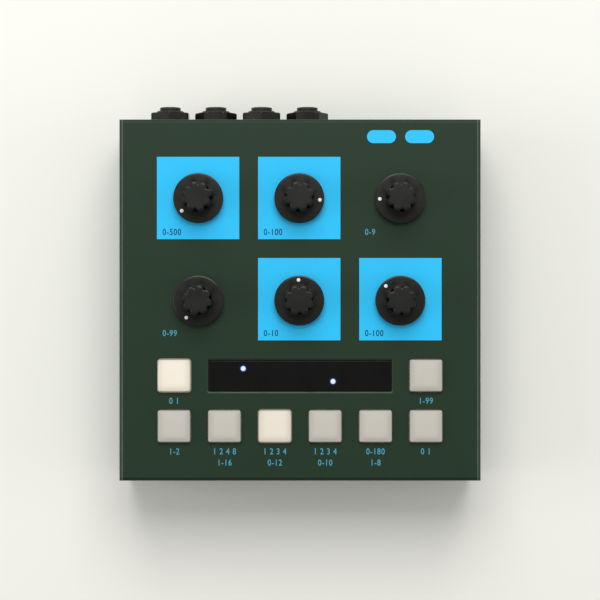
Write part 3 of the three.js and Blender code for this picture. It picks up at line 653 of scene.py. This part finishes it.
def rounded(profile, steps=6):
    """A profile of corners (radius, height, rounding), each rounded corner replaced by the arc
    that touches both of its sides: the arc's middle lies on the bisector, at a distance of
    rounding / sin(half the angle) from the corner."""
    corners = np.asarray(profile, float)
    points = []
    for i, (radius, height, size) in enumerate(corners):
        corner = np.array([radius, height])
        if size <= 0:
            points.append(corner[None])
            continue
        back = corners[i - 1, :2] - corner
        ahead = corners[i + 1, :2] - corner
        back, ahead = back / np.linalg.norm(back), ahead / np.linalg.norm(ahead)
        half = np.arccos(np.clip(back @ ahead, -1, 1)) / 2
        bisector = (back + ahead) / np.linalg.norm(back + ahead)
        centre = corner + bisector * size / np.sin(half)
        start = (corner + back * size / np.tan(half) - centre) / size
        end = (corner + ahead * size / np.tan(half) - centre) / size
        sweep = np.pi - 2 * half
        share = np.linspace(0, 1, steps + 1)[:, None]
        arc = (np.sin((1 - share) * sweep) * start + np.sin(share * sweep) * end) / np.sin(sweep)
        points.append(centre + size * arc)
    return np.concatenate(points)


def upper_edge(size, inset, top, count):
    """A quarter circle from a side up to a top, as points (inset, height): at an angle a, the
    inset grows by size * (1 - cos(a)), and the top is size * (1 - sin(a)) higher."""
    angle = np.linspace(0, np.pi / 2, count)
    return np.column_stack([inset + size * (1 - np.cos(angle)), top - size * (1 - np.sin(angle))])


def round_rectangle(half_width, half_depth, radius, between):
    """One ring round a rectangle with round corners: four quarter circles, counter-clockwise from
    +X, and on the straight line from the end of each to the start of the next, points at equal
    shares of its length."""
    angle = np.linspace(0, np.pi / 2, CORNER_STEPS + 1)
    quarters = (np.arange(4) * np.pi / 2)[:, None] + angle[None]
    side_x, side_y = np.array([1, -1, -1, 1]), np.array([1, 1, -1, -1])
    x = side_x[:, None] * (half_width - radius) + radius * np.cos(quarters)
    y = side_y[:, None] * (half_depth - radius) + radius * np.sin(quarters)
    corners = np.stack([x, y], axis=-1)
    start, end = corners[:, -1:], np.roll(corners[:, :1], -1, axis=0)
    share = np.linspace(0, 1, between + 2)[1:-1, None]
    return np.concatenate([corners, start + share * (end - start)], axis=1).reshape(-1, 2)


def loft(profile, half_width, half_depth, radius, between=0):
    """Rings of a shape whose plan is a rectangle with round corners: at each point (inset, height)
    of the profile the plan shrinks by the inset on all sides, and its corners with it down to a
    small radius. The first and last rings are points on the axis."""
    rings = []
    for inset, height in np.asarray(profile, float):
        width, depth = half_width - inset, half_depth - inset
        corner = min(max(radius - inset, LEAST_CORNER), width, depth)
        plan = round_rectangle(width, depth, corner, between)
        rings.append(np.column_stack([plan, np.full(len(plan), height)]))
    rings = np.stack(rings)
    rings[[0, -1], :, :2] = 0
    return rings


def shell(rings, place=(0, 0, 0), wrap=False):
    """Points and faces of a closed surface through rings, moved to a place. A wrapped one joins
    its last ring to its first; any other has a pole in the middle of its first and last rings,
    which are points."""
    rings = np.asarray(rings, float) + place
    count, around = rings.shape[:2]
    here = np.arange(around)
    after = (here + 1) % around
    if wrap:
        row = np.arange(count)[:, None] * around
        onward = np.roll(row, -1, axis=0)
        quads = np.stack([row + here, row + after, onward + after, onward + here], axis=-1)
        return rings.reshape(-1, 3), quads.reshape(-1, 4).tolist()
    row = np.arange(count - 3)[:, None] * around
    onward = row + around
    quads = np.stack([row + here, row + after, onward + after, onward + here], axis=-1)
    points = np.concatenate([rings[1:-1].reshape(-1, 3), rings[:1].mean(1), rings[-1:].mean(1)])
    first, last, edge = len(points) - 2, len(points) - 1, (count - 3) * around
    start = np.stack([np.full(around, first), after, here], axis=-1)
    end = np.stack([np.full(around, last), edge + here, edge + after], axis=-1)
    return points, quads.reshape(-1, 4).tolist() + start.tolist() + end.tolist()


def rear_facing(points, node):
    """Points built with z = 0 on the rear wall's outside and +Z pointing away from the case, put
    on the axis of a node: x stays, z becomes +Y and y becomes -Z."""
    axis = middle(node)
    x, y, z = np.moveaxis(points, -1, 0)
    return np.stack([axis.x + x, rear_wall + z, axis.z - y], axis=-1)


def piece(name, shells, materials, body, stands_for=(), sharp=38, reach=None):
    """Joins shells into one smooth mesh with sharp edges over an angle, as a piece that rides on
    a body. A shell is its points, its faces and, where it isn't all of the first material, the
    number of its material or of each face's."""
    points, faces, numbers, count = [], [], [], 0
    for shell_points, shell_faces, *given in shells:
        points.append(shell_points)
        faces += [[corner + count for corner in face] for face in shell_faces]
        numbers += np.broadcast_to(given[0] if given else 0, len(shell_faces)).tolist()
        count += len(shell_points)
    mesh = bpy.data.meshes.new(name)
    mesh.from_pydata(np.concatenate(points), [], faces)
    mesh.polygons.foreach_set("material_index", numbers)
    for material in materials:
        mesh.materials.append(material)
    mesh.shade_smooth()
    mesh.set_sharp_from_angle(angle=math.radians(sharp))
    if reach is not None:
        mesh.attributes.new("reach", "FLOAT", "POINT").data.foreach_set("value", reach)
    mesh.update()
    thing = bpy.data.objects.new(name, mesh)
    bpy.context.scene.collection.objects.link(thing)
    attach(thing, body)
    if stands_for:
        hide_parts(*stands_for)


def dress(node, material):
    """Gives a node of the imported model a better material."""
    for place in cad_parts[node].material_slots:
        place.material = material


# Operators


class PROCESSOR_OT_case(bpy.types.Operator):
    """Finishes the folded cover and the bottom plate in powder coat"""

    bl_idname = "processor.case"
    bl_label = "Case"

    def execute(self, context):
        case = context.scene.processor_case
        dress("top_cover", powder_coat("cover_powder_coat", case, *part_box("top_cover")))
        dress("bottom_plate", powder_coat("plate_powder_coat", case, *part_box("bottom_plate")))
        return {"FINISHED"}


class PROCESSOR_OT_print(bpy.types.Operator):
    """Prints the squares, pills and numbers on the panel"""

    bl_idname = "processor.print"
    bl_label = "Panel print"

    def execute(self, context):
        case = context.scene.processor_case
        low, high = panel_top - case.film / 2, panel_top + case.film
        blue = ink("blue_ink", case.ink)
        for name in PRINTED_SQUARES:
            self.square(case, name, low, high, blue)
        for index in (1, 2):
            self.pill(case, index, low, high, blue)
        self.numbers(case, high)
        return {"FINISHED"}

    def square(self, case, name, low, high, material):
        """A film round a knob's axis: at each angle it runs from the hole out to the square's
        side, which is side / 2 / max(|cos|, |sin|) away."""
        centre = square_place(case, *PRINTED_SQUARES[name])
        angle = np.linspace(0, 2 * np.pi, AROUND, endpoint=False)
        way = np.stack([np.cos(angle), np.sin(angle)], axis=-1)
        side = case.square / 2 / np.abs(way).max(1, keepdims=True) * way
        hole = case.square_hole / 2 * way
        rings = [
            np.column_stack([plan + centre, np.full(len(plan), level)])
            for plan, level in ((hole, low), (side, low), (side, high), (hole, high))
        ]
        piece(f"{name}_square", [shell(rings, wrap=True)], [material], "case")

    def pill(self, case, index, low, high, material):
        """A film with round ends."""
        half = case.pill_height / 2
        profile = [(half, low), (0, low), (0, high), (half, high)]
        rings = loft(profile, case.pill_width / 2, half, half)
        place = (case.pill_left + (index - 1) * case.pill_pitch, rear_wall - case.pill_setback, 0)
        piece(f"pill_{index}", [shell(rings, place)], [material], "case")

    def numbers(self, case, level):
        """The numbers at the knobs and buttons, as one piece in each ink."""
        half = case.square / 2
        lines = {"blue": [], "dark": []}
        for name, words in KNOB_NUMBERS.items():
            x, y = square_place(case, *(PRINTED_SQUARES | PLAIN_PLACES)[name])
            place = (x - half + case.knob_number_inset, y - half + case.knob_number_lift)
            lines["dark" if name in PRINTED_SQUARES else "blue"].append((words, *place, "LEFT"))
        for name, rows in BUTTON_NUMBERS.items():
            axis = middle(f"{name}_switch")
            for row, words in enumerate(rows):
                drop = case.button_number_drop + row * case.line_pitch
                lines["blue"].append((words, axis.x, axis.y - drop, "CENTER"))
        inks = {"blue": ink("number_ink", case.number_ink), "dark": ink("dark_ink", case.dark_ink)}
        for ink_name, rows in lines.items():
            shells = [self.line(case, level, *row) for row in rows]
            piece(f"{ink_name}_numbers", shells, [inks[ink_name]], "case")

    def line(self, case, level, words, x, y, side):
        """Points and faces of one line of numbers, scaled so that its digits are as tall as asked
        and put between two levels, just over and just under the film's top."""
        curve = bpy.data.curves.new("line", "FONT")
        curve.body, curve.align_x, curve.resolution_u = words, side, 4
        curve.space_character, curve.offset = case.number_spacing, case.number_weight
        # Any thickness will do, because only its two levels are kept apart below
        curve.extrude = 0.01
        thing = bpy.data.objects.new("line", curve)
        bpy.context.scene.collection.objects.link(thing)
        bpy.context.view_layer.update()
        solid = thing.evaluated_get(bpy.context.evaluated_depsgraph_get())
        mesh = bpy.data.meshes.new_from_object(solid)
        work = bmesh.new()
        work.from_mesh(mesh)
        bmesh.ops.remove_doubles(work, verts=work.verts, dist=1e-5)
        work.to_mesh(mesh)
        work.free()
        points = np.empty(len(mesh.vertices) * 3)
        mesh.vertices.foreach_get("co", points)
        across, up, thick = points.reshape(-1, 3).T
        faces = [list(face.vertices) for face in mesh.polygons]
        bpy.data.objects.remove(thing)
        bpy.data.meshes.remove(mesh)
        scale = case.cap_height / np.ptp(up)
        placed = [
            x + across * scale * case.number_width,
            y + (up - up.min()) * scale,
            np.where(thick > 0, level + case.film, level - case.film),
        ]
        return np.column_stack(placed), faces


class PROCESSOR_OT_knobs(bpy.types.Operator):
    """Builds the fluted knobs and their pointer dots"""

    bl_idname = "processor.knobs"
    bl_label = "Knobs"

    def execute(self, context):
        knob = context.scene.processor_knobs
        materials = [
            moulded("fluted_knob_plastic", knob.plastic, roughness=0.34, specular=0.25),
            moulded("grip_side_plastic", knob.grip_side, roughness=0.75, specular=0.04),
            moulded("flute_painted_shade", knob.flute_shade, roughness=0.8, specular=0.02),
            moulded("skirt_rim_plastic", knob.plastic, roughness=0.3, specular=0.35),
        ]
        white = moulded("pointer_paint", knob.pointer, roughness=0.45, texture=0.2)
        for name in KNOBS:
            place = on_panel(f"{name}_pot")
            turn = math.radians(POINTERS[name])
            body, node = f"{name}_control", f"{name}_knob"
            points, faces = shell(self.surface(knob, turn))
            shells = [(points + place, faces, self.numbers(knob, turn, points, faces))]
            piece(f"{name}_fluted_knob", shells, materials, body, [node])
            piece(f"{name}_pointer", [shell(self.dot(knob, turn), place)], [white], body)
        return {"FINISHED"}

    def numbers(self, knob, turn, points, faces):
        """The material of each face, by its middle: 1 on the grip's side, 2 in painted shade deep
        in a flute, 3 on the skirt's chamfer and 0 on the rest."""
        x, y, height = np.array([points[face].mean(0) for face in faces]).T
        out = np.hypot(x, y)
        # The side starts just over the grip's foot and ends just under its chamfer
        side_low = knob.grip_foot + 0.1 * MM
        side_high = knob.height - 1.6 * knob.chamfer * knob.chamfer_drop
        side = (height > side_low) & (height < side_high) & (out > knob.bore + 0.2 * MM)
        fluted = np.cos(knob.flutes * (np.arctan2(y, x) - turn)) > knob.flute_middle
        chamfer = knob.skirt_chamfer
        rim = (out > knob.skirt_radius - chamfer) & (height > knob.skirt_height - chamfer)
        return side * (1 + fluted) + 3 * rim

    def surface(self, knob, turn):
        """A turned profile whose grip is fluted: at an angle a from the pointer its radius is less
        by depth * ((1 + cos(flutes * a)) / 2) ** 2, from the grip's foot up to its top."""
        skirt_side = knob.skirt_height - knob.skirt_chamfer * knob.chamfer_drop
        skirt = rounded(
            [
                (0, knob.bore_top, 0),
                (knob.bore, knob.bore_top, 0),
                (knob.bore, knob.hollow_top, 0),
                (knob.hollow, knob.hollow_top, 0),
                (knob.hollow, knob.skirt_lift, 0),
                (knob.skirt_radius, knob.skirt_lift, 0.25 * MM),
                (knob.skirt_radius, skirt_side, 0.12 * MM),
                (knob.skirt_radius - knob.skirt_chamfer, knob.skirt_height, 0.1 * MM),
                (knob.grip_radius + 0.35 * MM, knob.grip_foot, 0),
            ]
        )
        # A point on the skirt, from which the fillet at the grip's foot takes its direction
        before_foot = (knob.grip_radius + 0.5 * MM, knob.grip_foot - 0.04 * MM, 0)
        grip = rounded(
            [
                before_foot,
                (knob.grip_radius, knob.grip_foot, 0.3 * MM),
                (knob.top_radius, knob.height - knob.chamfer * knob.chamfer_drop, 0.15 * MM),
                (knob.top_radius - knob.chamfer, knob.height, 0.2 * MM),
                (knob.plain_top, knob.height, 0),
                (0, knob.height, 0),
            ],
            steps=8,
        )[1:]
        profile = np.concatenate([skirt, grip])
        # The flutes leave out the skirt and the plain middle of the grip's top
        share = np.concatenate([np.zeros(len(skirt)), np.ones(len(grip) - 2), [0, 0]])
        rings = turned(profile, around=192)
        angle = np.arctan2(rings[..., 1], rings[..., 0])
        flute = knob.flute_depth * ((1 + np.cos(knob.flutes * (angle - turn))) / 2) ** 2
        radius = np.hypot(rings[..., 0], rings[..., 1])
        factor = np.where(radius > 0, 1 - share[:, None] * flute / np.maximum(radius, MM), 1)
        rings[..., :2] *= factor[..., None]
        return rings

    def dot(self, knob, turn):
        """A flat drop of paint, domed by a little, that lies on the skirt's slope at the pointer:
        its height follows the slope, and it is then turned about the knob's axis."""
        foot = -0.12 * MM
        profile = [
            (0, foot, 0),
            (knob.dot_radius, foot, 0),
            (knob.dot_radius, 0.1 * MM, 0.09 * MM),
            (0, 0.16 * MM, 0),
        ]
        x, y, height = np.moveaxis(turned(rounded(profile, steps=4), around=48), -1, 0)
        run = knob.skirt_radius - knob.grip_radius
        slope = (knob.grip_foot - knob.skirt_height) / run
        x = x + knob.pointer_radius
        height = height + knob.skirt_height + slope * (knob.skirt_radius - x)
        x, y = x * np.cos(turn) - y * np.sin(turn), x * np.sin(turn) + y * np.cos(turn)
        return np.stack([x, y, height], axis=-1)


class PROCESSOR_OT_buttons(bpy.types.Operator):
    """Builds the milky button caps"""

    bl_idname = "processor.buttons"
    bl_label = "Buttons"

    def execute(self, context):
        button = context.scene.processor_buttons
        colours = (button.lit, button.edge_shade, button.light)
        unlit = milky("milky_plastic", button.unlit, button.edge_shade)
        lit = {
            name: milky(f"{name}_milky_plastic", *colours, share * button.glow)
            for name, share in LIT_BUTTONS.items()
        }
        for name in BUTTONS:
            node = f"{name}_button"
            place = on_panel(f"{name}_switch")
            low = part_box(node)[0].z - panel_top
            shells = [shell(self.cap(button)), shell(self.post(button, low))]
            reach = self.reach(button, np.concatenate([points for points, faces in shells]))
            shells = [(points + place, faces) for points, faces in shells]
            plastic = lit.get(name, unlit)
            piece(f"{name}_cap", shells, [plastic], f"{name}_key", [node], reach=reach)
        return {"FINISHED"}

    def reach(self, button, points):
        """Each point's share of the way out from a cap's middle, even all along its sides:
        (|x| ** power + |y| ** power) ** (1 / power), where x and y go from 0 to 1."""
        outline_power = 6
        out = np.abs(points[:, :2]) / (np.array([button.width, button.depth]) / 2)
        return (out**outline_power).sum(1) ** (1 / outline_power)

    def cap(self, button):
        """A square cap with round corners, hollow from below, with a rim under the panel. Its top
        edge is a quarter circle. Its top rises inside that edge as
        crown * (1 - x ** power) * (1 - y ** power), where x and y are the shares of the way out
        from the middle to the edge."""
        edge, crown, top = button.edge, button.crown, button.height
        half, half_depth = button.width / 2, button.depth / 2
        ceiling = top - button.wall
        bottom = -button.rim_top - button.rim_height
        inner = [(half, ceiling), (button.wall, ceiling), (button.wall, bottom)]
        rim = [(-button.rim, bottom), (-button.rim, -button.rim_top), (0, -button.rim_top)]
        arc = upper_edge(edge, 0, top - crown, count=9)[:-1]
        # Rings that lie closer together towards the edge, where the top falls fastest
        shares = np.sqrt(np.linspace(1, 0, 17))
        flat = [(half - share * (half - edge), top - crown) for share in shares]
        profile = [*inner, *rim, *arc, *flat]
        rings = loft(profile, half, half_depth, button.corner, between=15)
        upper = rings[-len(flat) :]
        out = np.clip(np.abs(upper[..., :2]) / (np.array([half, half_depth]) - edge), 0, 1)
        upper[..., 2] += crown * np.prod(1 - out**button.crown_power, axis=-1)
        return rings

    def post(self, button, low):
        """The round post that stands on the switch, up into the cap's ceiling."""
        high = button.height - button.wall + 0.1 * MM
        profile = [(0, low), (button.post, low), (button.post, high), (0, high)]
        return turned(profile, around=32)


class PROCESSOR_OT_display(bpy.types.Operator):
    """Builds the smoked window and its lit dots"""

    bl_idname = "processor.display"
    bl_label = "Display"

    def execute(self, context):
        display = context.scene.processor_display
        grid = on_panel("light_spacer") - [0, 0, display.recess]
        lit = [grid + [x * display.pitch, y * display.pitch, 0] for x, y in LIT_LIGHTS]
        lens = smoked("smoked_plastic", display, lit)
        shells = [shell(self.window(display), on_panel("display_window"))]
        piece("smoked_window", shells, [lens], "case", ["display_window"])
        glow = lamp_plastic("display_light", display)
        points, faces = shell(self.dot(display))
        reach = np.hypot(points[:, 0], points[:, 1]) / display.core_radius
        for index, spot in enumerate(lit, 1):
            name = f"display_light_{index}"
            piece(name, [(points + spot, faces)], [glow], "case", reach=reach)
        return {"FINISHED"}

    def window(self, display):
        """A long plate with round corners and a small round edge on top, over a wider rim under
        the panel."""
        low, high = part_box("display_window")
        half_width, half_depth = (high.x - low.x) / 2, (high.y - low.y) / 2
        bottom = low.z - panel_top
        step = display.rim + display.gap
        profile = [
            (half_depth, bottom),
            (0, bottom),
            (0, -display.rim_top),
            (step, -display.rim_top),
            *upper_edge(0.25 * MM, step, -display.recess, count=5),
            (step + 0.4 * MM, -display.recess),
            (half_depth, -display.recess),
        ]
        return loft(profile, half_width, half_depth, display.corner + step)

    def dot(self, display):
        """The lit dot that a light makes at the lens: a turned disc, all but flat."""
        radius, low, side, top = display.core_radius, -0.03 * MM, 0.01 * MM, 0.05 * MM
        upper = [(radius * share, top) for share in (0.9, 0.75, 0.6, 0.4, 0)]
        return turned([(0, low), (radius, low), (radius, side), *upper], around=48)


class PROCESSOR_OT_jacks(bpy.types.Operator):
    """Builds the jack sockets and their nuts"""

    bl_idname = "processor.jacks"
    bl_label = "Jacks"

    def execute(self, context):
        socket = context.scene.processor_sockets
        plastic = moulded(
            "jack_black_plastic", socket.plastic, roughness=0.38, specular=0.2, texture=0.2
        )
        nut_plastic = moulded(
            "nut_black_plastic", socket.nut_plastic, roughness=0.22, specular=0.24, texture=0.2
        )
        nickel = metal("contact_nickel", socket.contact, roughness=0.3)
        parts = (self.bush(socket), 0), (self.body(socket), 0), (self.contact(socket), 1)
        for index in JACKS:
            node = f"jack_{index}"
            shells = []
            for rings, material in parts:
                points, faces = shell(rings)
                shells.append((rear_facing(points, node), faces, material))
            name = f"jack_socket_{index}"
            piece(name, shells, [plastic, nickel], "case", [node])
            rings = self.nut(socket, index % 2 == 0)
            points, faces = shell(rings, wrap=True)
            numbers = np.repeat(np.repeat([0, 1, 0], NUT_ROWS), rings.shape[1])
            shells = [(rear_facing(points, node), faces, numbers)]
            name, nut = f"jack_hex_nut_{index}", f"jack_nut_{index}"
            piece(name, shells, [nut_plastic, plastic], "case", [nut], sharp=25)
        return {"FINISHED"}

    def bush(self, socket):
        """A turned bush: a bore with a rounded mouth, a ring, a neck, and a thread whose radius
        swings between crest and root once in each pitch."""
        base = socket.reach - socket.ring_height
        thread_top = base - socket.neck_height
        # The thread starts a little inside the body
        start = -socket.body_start - 0.3 * MM
        root = socket.thread - socket.thread_depth
        turns = int((thread_top - start) / socket.thread_pitch)
        height = thread_top - np.arange(2 * turns + 1) * socket.thread_pitch / 2
        radius = np.where(np.arange(len(height)) % 2 == 0, root, socket.thread)
        thread = np.column_stack([radius, height])[::-1]
        end = socket.reach - socket.bore_depth
        mouth = rounded(
            [
                (socket.neck, thread_top, 0),
                (socket.neck, base, 0),
                (socket.ring, base, 0.12 * MM),
                (socket.ring, socket.reach, 0.22 * MM),
                (socket.bore, socket.reach, 0.35 * MM),
                (socket.bore, end, 0),
                (0, end, 0),
            ]
        )
        return turned(np.concatenate([[(0, start), (root, start)], thread, mouth]))

    def body(self, socket):
        """The moulded body behind the wall: a block with rounded edges."""
        half_width, half_height = socket.body_width / 2, socket.body_height / 2
        middle_inset = min(half_width, half_height)
        start = -socket.body_start
        end = start - socket.body_depth
        profile = [
            (middle_inset, end, 0),
            (0, end, 0.5 * MM),
            (0, start, 0.5 * MM),
            (middle_inset, start, 0),
        ]
        return loft(rounded(profile, steps=4), half_width, half_height, 0.6 * MM)

    def contact(self, socket):
        """The tip contact: a nickel dome at the end of the bore."""
        # It starts a little inside the bore's end
        radius, low = socket.contact_radius, socket.reach - socket.bore_depth - 0.2 * MM
        dome = [(radius, 0.8 * MM), (radius - 0.6 * MM, 1.3 * MM), (0, 1.5 * MM)]
        profile = [(0, 0), (radius, 0), *dome]
        return turned([(out, low + height) for out, height in profile], around=32)

    def nut(self, socket, flat_up):
        """A hexagon cut by chamfer cones: at an angle a the radius is the lesser of the hexagon's,
        flats / 2 / cos(a from the nearest flat), and the chamfer's at that height; then a cone."""
        seat, top = socket.seat, socket.seat + socket.hex_height
        end = top + socket.cone_height
        flats = socket.across_flats / 2
        corner = flats / math.cos(math.pi / 6)
        hole = socket.thread + 0.3 * MM
        cut, rise, line, blunt = 0.55 * MM, 0.5 * MM, 0.1 * MM, 0.25 * MM
        hexagon = [
            (corner - cut, seat),
            (corner - cut / 2, seat + rise / 2),
            (corner, seat + rise),
            (corner, seat + rise + line),
            (corner, top - rise - line),
            (corner, top - rise),
            (corner - cut / 2, top - rise / 2),
            (corner - cut, top),
        ]
        cone = [
            (socket.cone_radius, top),
            (socket.cone_top + 0.15 * MM, end - 0.1 * MM),
            (socket.cone_top - 0.1 * MM, end),
        ]
        mouth = [(hole + 0.2 * MM, end), (hole, end - 0.2 * MM)]
        rings = turned([(hole, seat), *hexagon, *cone, *mouth], around=192)
        angle = np.arctan2(rings[..., 1], rings[..., 0]) - (math.pi / 6 if flat_up else 0)
        away = (angle + math.pi / 6) % (math.pi / 3) - math.pi / 6
        radius = np.hypot(rings[..., 0], rings[..., 1])
        kept = radius.copy()
        sides = slice(1, 1 + len(hexagon))
        outline = np.minimum(flats / np.cos(away), corner - blunt)
        kept[sides] = np.minimum(radius, outline)[sides]
        rings[..., :2] *= (kept / radius)[..., None]
        return rings


class PROCESSOR_OT_rear(bpy.types.Operator):
    """Finishes the five-pin sockets and the power inlet"""

    bl_idname = "processor.rear"
    bl_label = "Rear sockets"

    def execute(self, context):
        socket = context.scene.processor_sockets
        plastic = moulded("rear_socket_plastic", socket.plastic, roughness=0.4, texture=0.25)
        for node in ("control_socket_1", "control_socket_2", "power_inlet"):
            dress(node, plastic)
        return {"FINISHED"}


class PROCESSOR_OT_feet(bpy.types.Operator):
    """Builds the rubber feet and their screws"""

    bl_idname = "processor.feet"
    bl_label = "Feet and screws"

    def execute(self, context):
        foot = context.scene.processor_feet
        black = rubber("dusty_foot_rubber", foot.rubber)
        zinc = metal("zinc_plating", foot.zinc, roughness=0.32)
        for corner in CORNERS:
            node = f"foot_{corner}"
            axis = middle(node)
            shells = [shell(self.foot(foot), (axis.x, axis.y, 0), wrap=True)]
            piece(f"rubber_foot_{corner}", shells, [black], "case", [node])
            node = f"case_screw_{corner}"
            low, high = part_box(node)
            points, faces = shell(self.screw(foot, high.z - low.z))
            points = points * [1, -1, -1] + [axis.x, axis.y, low.z + foot.head_height]
            name = f"pan_screw_{corner}"
            piece(name, [(points, faces)], [zinc], "case", [node], sharp=30)
        return {"FINISHED"}

    def foot(self, foot):
        """A turned foot, a little wider at the plate, with rounded edges and a recess for the
        screw."""
        profile = [
            (foot.hole, foot.recess, 0),
            (foot.recess_radius, foot.recess, 0.2 * MM),
            (foot.recess_radius, 0, 0.3 * MM),
            (foot.radius, 0, 0.5 * MM),
            (foot.top_radius, foot.height, 0.3 * MM),
            (foot.hole, foot.height, 0),
        ]
        return turned(rounded(profile))

    def screw(self, foot, whole):
        """A pan head turned upwards with its shank below. The head falls from its middle by
        dome * out ** 3, and sinks by the cross's depth where both the way along a slot and the
        way across it are inside the slot, with a short slope at its sides."""
        top, tip = foot.head_height, foot.head_height - whole
        dome, soft, bevel, edge = 0.75 * MM, 0.12 * MM, 0.3 * MM, 0.2 * MM
        out = np.linspace(1, 0, 36)
        profile = [
            (0, tip),
            (foot.shank - bevel, tip),
            (foot.shank, tip + bevel),
            (foot.shank, 0),
            (foot.head_radius - edge, 0),
            (foot.head_radius, edge),
            *np.column_stack([foot.head_radius * out, top - dome * out**3]),
        ]
        rings = turned(profile, around=144)
        along, across = (
            np.clip((half + soft - np.abs(rings[..., :2])) / soft, 0, 1)
            for half in (foot.cross_length / 2, foot.cross_width / 2)
        )
        cross = (along * across[..., ::-1]).max(axis=-1)
        is_top = rings[..., 2] > top - dome + 0.05 * MM
        rings[..., 2] -= np.where(is_top, foot.cross_depth * cross, 0)
        return rings


class PROCESSOR_OT_inside(bpy.types.Operator):
    """Finishes the pieces inside the case"""

    bl_idname = "processor.inside"
    bl_label = "Inside"

    def execute(self, context):
        inside = context.scene.processor_inside
        steel = metal("pot_zinc_plating", inside.pot, roughness=0.4)
        bright = metal("turned_shaft_metal", inside.shaft, roughness=0.35)
        board = laminate("green_board", inside)
        black = moulded("switch_housing_plastic", inside.housing, roughness=0.45, texture=0.2)
        dull = moulded("matt_spacer_plastic", inside.spacer, roughness=0.7, texture=0.3)
        for name in KNOBS:
            dress(f"{name}_pot", steel)
            dress(f"{name}_shaft", bright)
        for name in BUTTONS:
            dress(f"{name}_switch", black)
        for node in ("main_board", "control_board"):
            dress(node, board)
        dress("board_link", black)
        dress("light_spacer", dull)
        return {"FINISHED"}


class PROCESSOR_OT_stage(bpy.types.Operator):
    """Sets up the floor, the soft light and the camera"""

    bl_idname = "processor.stage"
    bl_label = "Stage"

    def execute(self, context):
        stage = context.scene.processor_stage
        scene = context.scene
        scene.view_settings.view_transform = "Standard"
        centre = middle("top_cover")
        self.floor(stage)
        self.light(stage, scene, centre)
        self.camera(stage, scene, centre)
        return {"FINISHED"}

    def floor(self, stage):
        """A pale matt floor with faint unevenness."""
        side = stage.floor_reach
        corners = [(-side, -side, 0), (side, -side, 0), (side, side, 0), (-side, side, 0)]
        mesh = bpy.data.meshes.new("floor")
        mesh.from_pydata(corners, [], [(0, 1, 2, 3)])
        finish = Finish("floor_paper", Specular_IOR_Level=0.1, Roughness=0.9)
        finish.paint(stage.floor, finish.noise(120 * MM, detail=2), spread=0.006)
        mesh.materials.append(finish.material)
        floor = bpy.data.objects.new("floor", mesh)
        bpy.context.scene.collection.objects.link(floor)

    def light(self, stage, scene, centre):
        """A large soft lamp behind, a low lamp at each side and even light from all round."""
        world = bpy.data.worlds.new("studio")
        world.use_nodes = True
        background = world.node_tree.nodes["Background"]
        background.inputs["Color"].default_value = (*stage.sky, 1)
        background.inputs["Strength"].default_value = stage.sky_level
        scene.world = world
        x, y = centre.x, centre.y
        rear = (x + stage.lamp_right, y + stage.lamp_rear, stage.lamp_height)
        left = (x - stage.side_reach, y - stage.side_front, stage.side_height)
        right = (x + stage.side_reach, y - stage.side_front, stage.side_height)
        for name, watts, size, place in (
            ("softbox", stage.lamp_power, stage.lamp_size, rear),
            ("left_lamp", stage.left_power, stage.side_size, left),
            ("right_lamp", stage.right_power, stage.side_size, right),
        ):
            data = bpy.data.lights.new(name, "AREA")
            data.energy, data.size = watts, size
            lamp = bpy.data.objects.new(name, data)
            lamp.location = place
            lamp.rotation_euler = (centre - Vector(place)).to_track_quat("-Z", "Y").to_euler()
            scene.collection.objects.link(lamp)

    def camera(self, stage, scene, centre):
        """A camera that looks straight down, shifted so that the case is in its middle."""
        data = bpy.data.cameras.new("camera")
        data.sensor_width = 36
        data.lens = data.sensor_width * stage.camera_height / stage.view_width
        data.shift_y = stage.camera_front / stage.view_width
        data.clip_start = 0.01
        camera = bpy.data.objects.new("camera", data)
        camera.location = (centre.x, centre.y - stage.camera_front, panel_top + stage.camera_height)
        scene.collection.objects.link(camera)
        scene.camera = camera


class PROCESSOR_PT_panel(bpy.types.Panel):
    """Lists what can be built"""

    bl_idname = "PROCESSOR_PT_panel"
    bl_label = "Delay Processor"
    bl_space_type = "VIEW_3D"
    bl_region_type = "UI"
    bl_category = "Processor"

    def draw(self, context):
        for operator in OPERATORS:
            self.layout.operator(operator.bl_idname)


OPERATORS = (
    PROCESSOR_OT_stage,
    PROCESSOR_OT_case,
    PROCESSOR_OT_print,
    PROCESSOR_OT_knobs,
    PROCESSOR_OT_buttons,
    PROCESSOR_OT_display,
    PROCESSOR_OT_jacks,
    PROCESSOR_OT_rear,
    PROCESSOR_OT_feet,
    PROCESSOR_OT_inside,
)


def register():
    """Adds the settings, the operators and the panel."""
    for settings in SETTINGS.values():
        bpy.utils.register_class(settings)
    for name, settings in SETTINGS.items():
        setattr(bpy.types.Scene, name, PointerProperty(type=settings))
    for operator in OPERATORS:
        bpy.utils.register_class(operator)
    bpy.utils.register_class(PROCESSOR_PT_panel)


def unregister():
    """Takes away what register adds."""
    bpy.utils.unregister_class(PROCESSOR_PT_panel)
    for operator in reversed(OPERATORS):
        bpy.utils.unregister_class(operator)
    for name in SETTINGS:
        delattr(bpy.types.Scene, name)
    for settings in reversed(SETTINGS.values()):
        bpy.utils.unregister_class(settings)


def main():
    """Builds everything in order."""
    register()
    for operator in OPERATORS:
        group, name = operator.bl_idname.split(".")
        getattr(getattr(bpy.ops, group), name)()


if __name__ == "__main__":
    main()
